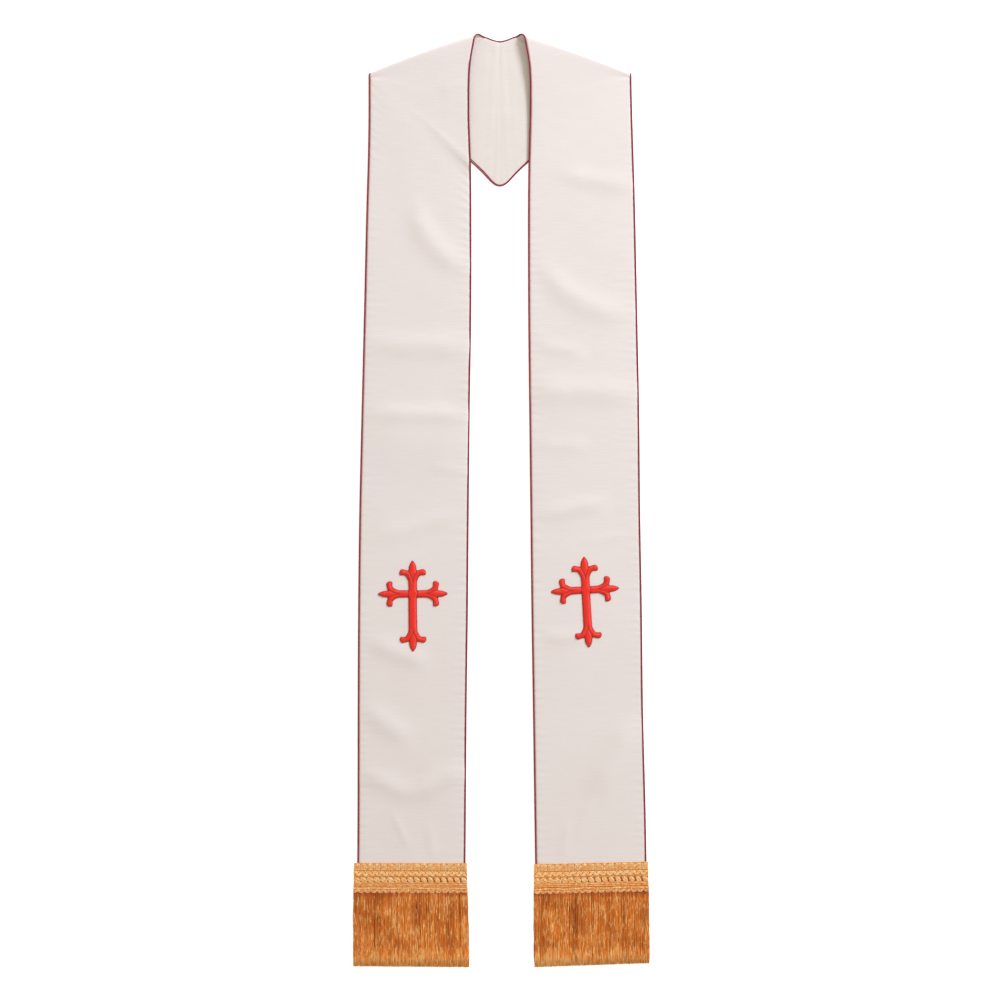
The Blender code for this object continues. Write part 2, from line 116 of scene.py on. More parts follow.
SHOULDER = [
    Section(59.4, 38.0, 4.4, 6.7, 9.0, 4.4, 6.7, 9.0),
    Section(60.6, 74.0, 4.3, 5.5, 7.0, 4.3, 5.2, 6.0),
    Section(61.8, 110.0, 4.2, 4.6, 5.2, 4.2, 4.4, 3.9),
    Section(63.0, 145.0, 4.1, 3.9, 3.8, 4.1, 3.7, 3.1),
    Section(64.2, 179.6, 4.0, 3.4, 2.9, 4.0, 3.4, 2.9),
    Section(69.9, 185.1, 3.75, 3.25, 2.0, 3.6, 3.25, 2.8),
    Section(76.4, 191.0, 3.45, 3.05, 0.9, 3.3, 3.1, 2.7),
    Section(84.0, 198.0, 3.1, 2.75, 0.2, 3.0, 2.85, 2.5),
    Section(99.0, 205.0, 2.5, 2.3, 0.0, 2.5, 2.5, 2.3),
    Section(117.0, 213.0, 1.9, 1.8, 0.0, 1.95, 2.1, 2.0),
    Section(138.0, 223.0, 1.3, 1.3, 0.0, 1.4, 1.6, 1.6),
    Section(161.0, 234.0, 0.8, 0.8, 0.0, 0.9, 1.1, 1.2),
    Section(186.0, 247.0, 0.4, 0.4, 0.0, 0.5, 0.7, 0.8),
    Section(211.0, 261.0, 0.1, 0.1, 0.0, 0.2, 0.3, 0.4),
    Section(236.0, 276.0, 0.0, 0.0, 0.0, 0.0, 0.1, 0.1),
    Section(261.0, 291.0, 0.0, 0.0, 0.0, 0.0, 0.0, 0.0),
    Section(286.0, 306.0, 0.0, 0.0, 0.0, 0.0, 0.0, 0.0),
    Section(311.0, 322.0, 0.0, 0.0, 0.0, 0.0, 0.0, 0.0),
]


class Place(NamedTuple):
    """A point of the cut, in mm."""

    out: float
    down: float


YOKE_EDGE = [
    Place(0.0, 210.4),
    Place(5.0, 209.2),
    Place(11.2, 205.0),
    Place(24.0, 191.4),
    Place(41.0, 175.4),
    Place(110.0, 115.6),
    Place(181.0, 54.2),
    Place(190.0, 46.5),
]
NECK_EDGE = [
    Place(0.0, 8.8),
    Place(8.4, 7.1),
    Place(16.8, 3.9),
    Place(25.2, 0.9),
    Place(30.8, -0.5),
    Place(40.0, -1.4),
]


class Fold(NamedTuple):
    """A soft fold of a front: its middle, its turn in degrees, its half sizes, its height and how far
    its ends bend aside, in mm."""

    out: float
    down: float
    turn: float
    half_length: float
    half_width: float
    height: float
    bend: float = 0.0


FOLDS = {
    Side.LEFT: [
        Fold(66.0, 70.0, -24.0, 26.0, 8.0, 0.9),
        Fold(95.0, 290.0, 51.0, 78.0, 17.0, 2.3, 22.0),
        Fold(112.0, 434.0, 1.0, 98.0, 17.0, 2.3),
        Fold(112.0, 530.0, 1.0, 98.0, 12.0, 2.0),
        Fold(112.0, 566.0, 0.0, 90.0, 40.0, 2.2),
        Fold(118.0, 688.0, -17.0, 80.0, 12.0, 1.3),
        Fold(141.0, 864.0, 21.0, 58.0, 14.0, 1.8),
        Fold(158.0, 964.0, 35.0, 52.0, 15.0, 1.9),
        Fold(157.0, 1048.0, 24.0, 54.0, 14.0, 1.8),
        Fold(87.0, 1045.0, -28.0, 54.0, 14.0, 2.3),
        Fold(70.0, 607.0, 9.0, 38.0, 7.0, 0.5),
        Fold(96.0, 1128.0, 84.0, 30.0, 7.0, 0.6),
        Fold(139.0, 1112.0, 66.0, 34.0, 6.0, 0.6),
    ],
    Side.RIGHT: [
        Fold(135.0, 202.0, -9.0, 70.0, 13.0, 1.5),
        Fold(113.0, 371.0, -29.0, 94.0, 18.0, 2.2, 26.0),
        Fold(85.0, 438.0, -8.0, 44.0, 10.0, 0.9),
        Fold(118.0, 498.0, 0.0, 96.0, 18.0, 2.6),
        Fold(88.0, 574.0, 0.0, 50.0, 11.0, 0.9),
        Fold(102.0, 662.0, 13.0, 62.0, 12.0, 1.8),
        Fold(92.0, 842.0, 0.0, 40.0, 10.0, 1.2),
        Fold(158.0, 1010.0, 62.0, 76.0, 19.0, 2.6),
        Fold(150.0, 704.0, 12.0, 40.0, 7.0, 0.5),
        Fold(92.0, 1124.0, 80.0, 34.0, 7.0, 0.6),
        Fold(118.0, 1096.0, 66.0, 40.0, 8.0, 0.5),
    ],
}
FOLD_TAPER = 1.4


def linear(hex_colour: str) -> tuple[float, float, float, float]:
    """Turns an sRGB colour to the linear values that shaders take.

    Args:
        hex_colour: Six hexadecimal digits.

    Returns:
        Red, green, blue and full alpha.
    """
    shares = [int(hex_colour[i : i + 2], 16) / 255 for i in (0, 2, 4)]
    red, green, blue = [c / 12.92 if c <= 0.04045 else ((c + 0.055) / 1.055) ** 2.4 for c in shares]
    return red, green, blue, 1.0


def smooth(value: np.ndarray) -> np.ndarray:
    """A soft step from 0 to 1.

    Args:
        value: Where the step is read.

    Returns:
        The step's height, from 0 to 1.
    """
    held = np.clip(value, 0.0, 1.0)
    return held * held * (3 - 2 * held)


def along(keys: Sequence[float], values: Any, at: Any, steady: bool = False) -> np.ndarray:
    """Reads a table smoothly between its rows.

    Args:
        keys: The rising numbers that the rows stand at.
        values: One row of values for each key.
        at: Where the table is read.
        steady: Whether each value stays between those of the rows beside it.

    Returns:
        The values there, one row for each place.
    """
    keys, values, at = np.asarray(keys, float), np.asarray(values, float), np.asarray(at, float)
    last = len(keys) - 1
    low, high = np.maximum(np.arange(last + 1) - 1, 0), np.minimum(np.arange(last + 1) + 1, last)
    shape = (-1,) + (1,) * (values.ndim - 1)
    slopes = (values[high] - values[low]) / (keys[high] - keys[low]).reshape(shape)
    if steady:
        secants = np.diff(values, axis=0) / np.diff(keys).reshape(shape)
        before, after = np.concatenate([secants[:1], secants]), np.concatenate([secants, secants[-1:]])
        most = 3 * np.minimum(np.abs(before), np.abs(after))
        slopes = np.where(before * after > 0, np.clip(slopes, -most, most), 0.0)
    i = np.clip(np.searchsorted(keys, at, side="right") - 1, 0, last - 1)
    span = (keys[i + 1] - keys[i]).reshape(shape)
    t = (at - keys[i]).reshape(shape) / span
    return (
        values[i] * (1 + 2 * t) * (1 - t) ** 2
        + slopes[i] * span * t * (1 - t) ** 2
        + values[i + 1] * t * t * (3 - 2 * t)
        - slopes[i + 1] * span * t * t * (1 - t)
    )


def placed(side: Side, points: np.ndarray) -> np.ndarray:
    """Turns points of the cut to their side and sets them about the middle of the whole outline.

    Args:
        side: The half that the points belong to.
        points: Points with the last axis (out, minus down, height), in metres.

    Returns:
        The same points in the model's frame.
    """
    return points * (side.value, 1.0, 1.0) + (-2.5 * MM, 651.0 * MM, 0.0)


def rumple(points: np.ndarray, across: float, lengthwise: float, seed: float) -> np.ndarray:
    """Uneven soft swells of cloth.

    Args:
        points: Points with out and down first on their last axis, in metres.
        across: How wide a swell is.
        lengthwise: How long a swell is.
        seed: A number that no other layer of swells has.

    Returns:
        Heights between about -1 and 1.
    """
    flat = points.reshape(-1, points.shape[-1])
    found = [noise.noise(Vector((p[0] / across, p[1] / lengthwise, seed))) for p in flat]
    return np.array(found).reshape(points.shape[:-1])


def add(
    tree: bpy.types.NodeTree, kind: str, inputs: dict[Any, Any] | None = None, out: Any = 0, **settings: Any
) -> bpy.types.NodeSocket:
    """Adds a node with its settings and links.

    Args:
        tree: The material's nodes.
        kind: The node's type, without its ShaderNode prefix.
        inputs: A value or another node's socket for each input that isn't left as it is.
        out: The name or number of the output that is read.
        settings: The node's own properties.

    Returns:
        The socket of that output.
    """
    made = tree.nodes.new("ShaderNode" + kind)
    for name, value in settings.items():
        setattr(made, name, value)
    for name, value in (inputs or {}).items():
        if isinstance(value, bpy.types.NodeSocket):
            tree.links.new(value, made.inputs[name])
        else:
            made.inputs[name].default_value = value
    return made.outputs[out]


def wave_scale(period: float) -> float:
    """The Wave Texture scale that repeats once in a length, which is its own unit over 20 radians."""
    return math.pi / 10 / period


class Pattern(NamedTuple):
    """What a finish draws: the values that its tones, its relief and its glints are read from."""

    tone: bpy.types.NodeSocket
    height: bpy.types.NodeSocket
    glint: bpy.types.NodeSocket | None = None


@dataclass(frozen=True)
class Finish:
    """What every finish has: its name, its slot, its tones, its gloss and its relief.

    The tones go from the shade to the colour over their span, and the glints set in over theirs.
    The glints are highlights painted into the colour.
    """

    name: str
    slot: str
    colour: str
    shade: str
    roughness: float
    sheen: float = 0.0
    sheen_roughness: float = 0.4
    specular: float = 0.5
    # The glint colour paints highlights into the base colour.
    glint: str = "FFFFFF"
    tone_span: tuple[float, float] = (0.0, 1.0)
    glint_span: tuple[float, float] = (0.0, 1.0)
    glint_most: float = 1.0
    relief: float = 0.0
    strength: float = 1.0

    def surface(self, tree: bpy.types.NodeTree) -> Pattern:
        """Draws the pattern.

        Args:
            tree: The material's nodes.

        Returns:
            The pattern's sockets.
        """
        raise NotImplementedError

    def material(self) -> bpy.types.Material:
        """The finish's material, made when it is first asked for."""
        return bpy.data.materials.get(self.name) or self.make()

    def make(self) -> bpy.types.Material:
        """Makes the material, with the constant values on the shader's own sockets.

        Returns:
            The material.
        """
        made = bpy.data.materials.new(self.name)
        made.use_nodes = True
        tree = made.node_tree
        pattern = self.surface(tree)
        low, high = self.tone_span
        share = add(tree, "MapRange", {0: pattern.tone, 1: low, 2: high})
        tones = {0: share, 6: linear(self.shade), 7: linear(self.colour)}
        colour = add(tree, "Mix", tones, 2, data_type="RGBA")
        # Mixes the painted highlights into the colour.
        if pattern.glint:
            low, high = self.glint_span
            share = add(tree, "MapRange", {0: pattern.glint, 1: low, 2: high, 4: self.glint_most})
            colour = add(tree, "Mix", {0: share, 6: colour, 7: linear(self.glint)}, 2, data_type="RGBA")
        bump = {"Height": pattern.height, "Distance": self.relief, "Strength": self.strength}
        shader = tree.nodes["Principled BSDF"]
        tree.links.new(colour, shader.inputs["Base Color"])
        tree.links.new(add(tree, "Bump", bump), shader.inputs["Normal"])
        shader.inputs["Roughness"].default_value = self.roughness
        shader.inputs["Specular IOR Level"].default_value = self.specular
        shader.inputs["Sheen Weight"].default_value = self.sheen
        shader.inputs["Sheen Roughness"].default_value = self.sheen_roughness
        made.diffuse_color = linear(self.colour)
        return made


@dataclass(frozen=True)
class WovenCloth(Finish):
    """Woven polyester cloth: fine crosswise ribs and slubs, so it glows softly without a highlight."""

    relief: float = 0.035 * MM
    rib: float = 0.9 * MM
    yarn: float = 0.7 * MM
    slub: tuple[float, float] = (28.0 * MM, 1.35 * MM)
    wander: tuple[float, float] = (0.6, 0.8)
    slub_height: float = 0.2
    slub_tone: float = 0.6
    dye_tone: float = 0.3
    dye_scale: float = 9.0
    tone_span: tuple[float, float] = (0.1, 0.8)

    def surface(self, tree: bpy.types.NodeTree) -> Pattern:
        """Draws ribs, yarns, slubs and faint uneven dye on the cloth's own map, in metres.

        The real ribs are 0.3 mm apart. They are drawn three times as coarse, so that they show.

        Args:
            tree: The material's nodes.

        Returns:
            The pattern's sockets.
        """
        flat = add(tree, "UVMap", uv_map="UVMap")
        waves = []
        for pitch, uneven, way in zip((self.rib, self.yarn), self.wander, "YX"):
            close = {"Vector": flat, "Scale": wave_scale(pitch), "Distortion": uneven, "Detail Scale": 0.4}
            waves.append(add(tree, "TexWave", close, "Fac", bands_direction=way))
        drawn = add(tree, "Mapping", {"Vector": flat, "Scale": (1 / self.slub[0], 1 / self.slub[1], 1)})
        slubs = add(tree, "TexNoise", {"Vector": drawn, "Scale": 1.0, "Detail": 2.0})
        dye = add(tree, "TexNoise", {"Vector": flat, "Scale": self.dye_scale, "Detail": 2.0})
        weave = add(tree, "Math", {0: waves[0], 1: waves[1]}, operation="MULTIPLY")
        height = add(tree, "Math", {0: slubs, 1: self.slub_height, 2: weave}, operation="MULTIPLY_ADD")
        faint = add(tree, "Math", {0: dye, 1: self.dye_tone}, operation="MULTIPLY")
        toned = add(tree, "Math", {0: slubs, 1: self.slub_tone, 2: faint}, operation="MULTIPLY_ADD")
        return Pattern(toned, height)


@dataclass(frozen=True)
class Wound(Finish):
    """Cloth or thread that is wound round a cord, with slanting turns and uneven patches."""

    turn: float = 1.1 * MM
    wander: float = 0.3
    patch_scale: float = 330.0

    def winding(self, tree: bpy.types.NodeTree) -> tuple[bpy.types.NodeSocket, bpy.types.NodeSocket]:
        """Draws slanting turns round the cord on its own map: metres along and turns around.

        Args:
            tree: The material's nodes.

        Returns:
            The sockets of the turns and of the patches.
        """
        flat = add(tree, "UVMap", uv_map="UVMap")
        drawn = add(tree, "Mapping", {"Vector": flat, "Scale": (1 / self.turn, 1.0, 1.0)})
        slanting = {"Vector": drawn, "Scale": wave_scale(1.0), "Distortion": self.wander}
        turns = add(tree, "TexWave", slanting, "Fac", bands_direction="DIAGONAL")
        place = add(tree, "TexCoord", out="Object")
        return turns, add(tree, "TexNoise", {"Vector": place, "Scale": self.patch_scale, "Detail": 3.0})


@dataclass(frozen=True)
class BiasPiping(Wound):
    """Satin cut on the bias and wrapped round a cord: slanting pulls and a soft highlight."""

    relief: float = 0.12 * MM
    strength: float = 0.6
    turn: float = 2.6 * MM
    wander: float = 1.4
    patch_scale: float = 60.0

    def surface(self, tree: bpy.types.NodeTree) -> Pattern:
        """Draws the bias cut's slanting pulls, with patches of wear."""
        pulls, wear = self.winding(tree)
        return Pattern(wear, pulls)


@dataclass(frozen=True)
class SatinStitch(Finish):
    """Machine satin stitch in rayon thread: close parallel threads with a silky glow along them."""

    relief: float = 0.14 * MM
    strength: float = 0.8
    thread: float = 0.8 * MM
    wander: float = 0.5
    uneven_scale: float = 260.0
    uneven_tone: float = 0.5
    tone_span: tuple[float, float] = (0.3, 1.1)

    def surface(self, tree: bpy.types.NodeTree) -> Pattern:
        """Draws the threads by the distance across them, and the painted shade, which each point of the
        piece holds.

        Real threads lie 0.4 mm apart. They are drawn twice as coarse, so that they show.

        Args:
            tree: The material's nodes.

        Returns:
            The pattern's sockets.
        """
        across = add(tree, "Attribute", out="Vector", attribute_name="stitch")
        close = {"Vector": across, "Scale": wave_scale(self.thread), "Distortion": self.wander}
        threads = add(tree, "TexWave", close, "Fac", bands_direction="X")
        place = add(tree, "TexCoord", out="Object")
        uneven = add(tree, "TexNoise", {"Vector": place, "Scale": self.uneven_scale, "Detail": 2.0})
        # The third value is the painted shade at the outline and in the grooves.
        depth = add(tree, "SeparateXYZ", {0: across}, "Z")
        toned = add(tree, "Math", {0: uneven, 1: self.uneven_tone, 2: depth}, operation="MULTIPLY_ADD")
        return Pattern(toned, threads)


@dataclass(frozen=True)
class WrappedYarn(Wound):
    """Rayon wound round a centre cord in a fine screw: painted shade between turns, painted glints in short
    dashes.
    """

    relief: float = 0.16 * MM
    strength: float = 0.8
    glint: str = "FFEFC8"
    turn_painted_shade: float = 0.3
    tone_span: tuple[float, float] = (0.45, 0.75)
    glint_span: tuple[float, float] = (0.74, 0.86)

    def surface(self, tree: bpy.types.NodeTree) -> Pattern:
        """Draws the winding: painted shade between its turns, tones by its patches, painted glints by both.

        Args:
            tree: The material's nodes.

        Returns:
            The pattern's sockets.
        """
        turns, patches = self.winding(tree)
        # The turns paint shade in the grooves between them, and the same share paints the glints.
        share = add(tree, "Math", {0: turns, 1: self.turn_painted_shade, 2: patches}, operation="MULTIPLY_ADD")
        return Pattern(share, turns, share)


@dataclass(frozen=True)
class FringeThread(Finish):
    """Glossy rayon thread, cut and hanging loose: own tone for each strand, painted glints, painted root
    shade.
    """

    relief: float = 0.05 * MM
    strength: float = 0.5
    glint: str = "FFCB80"
    tips: tuple[float, float] = (-0.624, -0.642)
    roots: tuple[float, float] = (-0.556, -0.5485)
    tip_tone: float = 0.5
    root_tone: float = -0.6
    streak: tuple[float, float, float] = (300.0, 95.0, 120.0)
    strands_apart: float = 14.0
    patch_scale: float = 24.0
    patch_span: tuple[float, float] = (0.38, 0.62)
    patch_tone: tuple[float, float] = (-0.16, 0.14)
    glint_tone: float = 0.22
    glint_span: tuple[float, float] = (0.55, 0.61)
    glint_most: float = 0.95

    def surface(self, tree: bpy.types.NodeTree) -> Pattern:
        """Gives each strand its tone, with painted highlights where it would catch light and painted shade
        at its root.

        Args:
            tree: The material's nodes.

        Returns:
            The pattern's sockets.
        """
        tone = add(tree, "Attribute", out="Fac", attribute_name="tone")
        place = add(tree, "TexCoord", out="Object")
        drawn = add(tree, "Mapping", {"Vector": place, "Scale": self.streak})
        apart = add(tree, "Math", {0: tone, 1: self.strands_apart}, operation="MULTIPLY")
        varied = {"Vector": drawn, "W": apart, "Scale": 1.0, "Detail": 2.0}
        streaks = add(tree, "TexNoise", varied, noise_dimensions="4D")
        level = add(tree, "SeparateXYZ", {0: place}, "Y")
        # The tips are paler, and through lit below they carry more of the painted glints.
        tips = add(tree, "MapRange", {0: level, 1: self.tips[0], 2: self.tips[1], 4: self.tip_tone})
        # Painted shade: the strands darken towards their roots under the heading.
        roots = add(tree, "MapRange", {0: level, 1: self.roots[0], 2: self.roots[1], 4: self.root_tone})
        wide = add(tree, "TexNoise", {"Vector": place, "Scale": self.patch_scale, "Detail": 1.0})
        spans = dict(enumerate((*self.patch_span, *self.patch_tone), 1))
        patches = add(tree, "MapRange", {0: wide, **spans})
        ends = add(tree, "Math", {0: tips, 1: roots}, operation="ADD")
        shaded = add(tree, "Math", {0: tone, 1: patches}, operation="ADD")
        toned = add(tree, "Math", {0: shaded, 1: ends}, operation="ADD", use_clamp=True)
        # The painted glints follow the streaks: more at the tips and in the patches, fewer at the roots.
        lit = add(tree, "Math", {0: ends, 1: patches}, operation="ADD")
        painted_glint_share = add(tree, "Math", {0: lit, 1: self.glint_tone, 2: streaks}, operation="MULTIPLY_ADD")
        return Pattern(toned, streaks, painted_glint_share)


IVORY = WovenCloth(
    "ivory_faille_woven", "ivory_cloth", "ECE3DF", "E2D6D0", 0.62, sheen=0.12, specular=0.35
)
LINING = WovenCloth(
    "ivory_satin_lining_woven", "lining", "E9E0DA", "DFD4CB", 0.5, sheen=0.1, yarn=0.5 * MM
)
CRIMSON = BiasPiping("crimson_satin_piping_bias_cut", "red_piping", "A3162B", "6E1020", 0.42, sheen=0.2)
RED = SatinStitch("red_rayon_satin_stitch", "red_thread", "F02C1A", "A8120A", 0.4, specular=0.35)
GOLD_YARN = WrappedYarn("old_gold_rayon_gimp_wound", "gold_braid", "FFCE7C", "FFA452", 0.34)
BRAID_WEAVE = {"rib": 1.2 * MM, "slub": (28.0 * MM, 1.8 * MM)}
GOLD_GROUND = WovenCloth(
    "old_gold_braid_ground_woven", "gold_braid", "E8984E", "C87838", 0.5, **BRAID_WEAVE
)
# A dark ribbon of painted shade for the gaps between the braid's leaves.
BRAID_SHADE_RIBBON = WovenCloth("russet_braid_painted_shade_woven", "gold_braid", "B05A2C", "8E3E1C", 0.5, **BRAID_WEAVE)
GOLD_CORD = WrappedYarn(
    "old_gold_rayon_cord_twisted", "gold_fringe", "FFC06A", "EE8830", 0.34, glint="FFE4B0"
)
GOLD_THREAD = FringeThread("old_gold_rayon_fringe_cut", "gold_fringe", "F58F2E", "AA4C12", 0.32)


def finished(
    name: str,
    shape: bmesh.types.BMesh,
    finish: Finish,
    stands_for: Sequence[str] = (),
    wall: float = 0.0,
    offset: float = 0.0,
) -> bpy.types.Object:
    """Puts a dressed piece in the scene, with its place in its mesh, on the stole's one body.

    Args:
        name: The piece's name.
        shape: Its shape in the model's frame, which is used up.
        finish: Its finish.
        stands_for: The solids that the piece replaces.
        wall: The thickness that a sheet is given, or 0.
        offset: -1 to 1, where the sheet lies in its wall.

    Returns:
        The piece.
    """
    mesh = bpy.data.meshes.new(name)
    shape.to_mesh(mesh)
    shape.free()
    mesh.materials.append(finish.material())
    made = bpy.data.objects.new(name, mesh)
    bpy.context.scene.collection.objects.link(made)
    if wall:
        solid = made.modifiers.new("wall", "SOLIDIFY")
        solid.thickness = wall
        solid.offset = offset
    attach(made, BODY)
    if stands_for:
        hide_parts(*stands_for)
    return made


def run_lengths(line: np.ndarray) -> np.ndarray:
    """How far each point of a line lies along it from its start."""
    return np.concatenate([[0.0], np.cumsum(np.linalg.norm(np.diff(line, axis=0), axis=1))])


def grid_shape(rows: np.ndarray, flat: np.ndarray, turned: bool) -> bmesh.types.BMesh:
    """A sheet of quads through rows of points, with a map of its own.

    Args:
        rows: Points by row and column.
        flat: The map's places for the same rows and columns, in metres.
        turned: Whether the sheet faces the other way.

    Returns:
        The sheet, smooth shaded.
    """
    last_row, last_column = rows.shape[0] - 1, rows.shape[1] - 1
    shape = bmesh.new()
    layer = shape.loops.layers.uv.new("UVMap")
    bmesh.ops.create_grid(shape, x_segments=last_column, y_segments=last_row, size=0.5)
    for corner in shape.verts:
        i = round((corner.co.y + 0.5) * last_row)
        j = round((corner.co.x + 0.5) * last_column)
        corner.co = rows[i, j]
        for loop in corner.link_loops:
            loop[layer].uv = flat[i, j]
    for face in shape.faces:
        face.smooth = True
    if turned:
        bmesh.ops.reverse_faces(shape, faces=shape.faces[:])
    return shape


def tubes(
    lines: Sequence[np.ndarray],
    radius: float,
    steps: int = 1,
    girths: Sequence[np.ndarray] | None = None,
    tones: Sequence[float] | None = None,
) -> bmesh.types.BMesh:
    """Round cords along lines with equal numbers of points.

    Args:
        lines: The points of each cord's centre line.
        radius: The cords' radius.
        steps: How fine they are round: 4 sides, and 4 more for each step.
        girths: A share of the radius for each point of each line.
        tones: A tone for each cord, kept as the attribute tone.

    Returns:
        The cords in one shape, with a map in metres along and turns around.
    """
    curve = bpy.data.curves.new("cords", "CURVE")
    curve.dimensions = "3D"
    curve.bevel_depth = radius
    curve.bevel_resolution = steps
    curve.use_fill_caps = True
    for k, line in enumerate(lines):
        spline = curve.splines.new("POLY")
        spline.points.add(len(line) - 1)
        spline.points.foreach_set("co", np.hstack([line, np.ones((len(line), 1))]).ravel())
        if girths is not None:
            spline.points.foreach_set("radius", girths[k])
    guide = bpy.data.objects.new("cords", curve)
    bpy.context.scene.collection.objects.link(guide)
    bpy.context.view_layer.update()
    graph = bpy.context.evaluated_depsgraph_get()
    mesh = bpy.data.meshes.new_from_object(guide.evaluated_get(graph))
    bpy.data.objects.remove(guide)
    bpy.data.curves.remove(curve)
    places = np.zeros(len(mesh.loops) * 2, np.float32)
    mesh.uv_layers[0].data.foreach_get("uv", places)
    places[0::2] *= run_lengths(lines[0])[-1]
    mesh.uv_layers[0].data.foreach_set("uv", places)
    if tones is not None:
        tube = (4 + 4 * steps) * len(lines[0])
        caps = (len(mesh.vertices) - tube * len(lines)) // len(lines)
        values = np.concatenate([np.repeat(tones[::-1], caps), np.repeat(tones, tube)])
        mesh.attributes.new("tone", "FLOAT", "POINT").data.foreach_set("value", values.astype(np.float32))
    shape = bmesh.new()
    shape.from_mesh(mesh)
    bpy.data.meshes.remove(mesh)
    bmesh.ops.remove_doubles(shape, verts=shape.verts[:], dist=radius * 0.01)
    for face in shape.faces:
        face.smooth = True
    return shape


@dataclass
class Lay:
    """Where one half lies: rows of points from the hem, over the shoulder, to the centre back."""

    rows: np.ndarray
    front_rows: int
    yoke_from: int


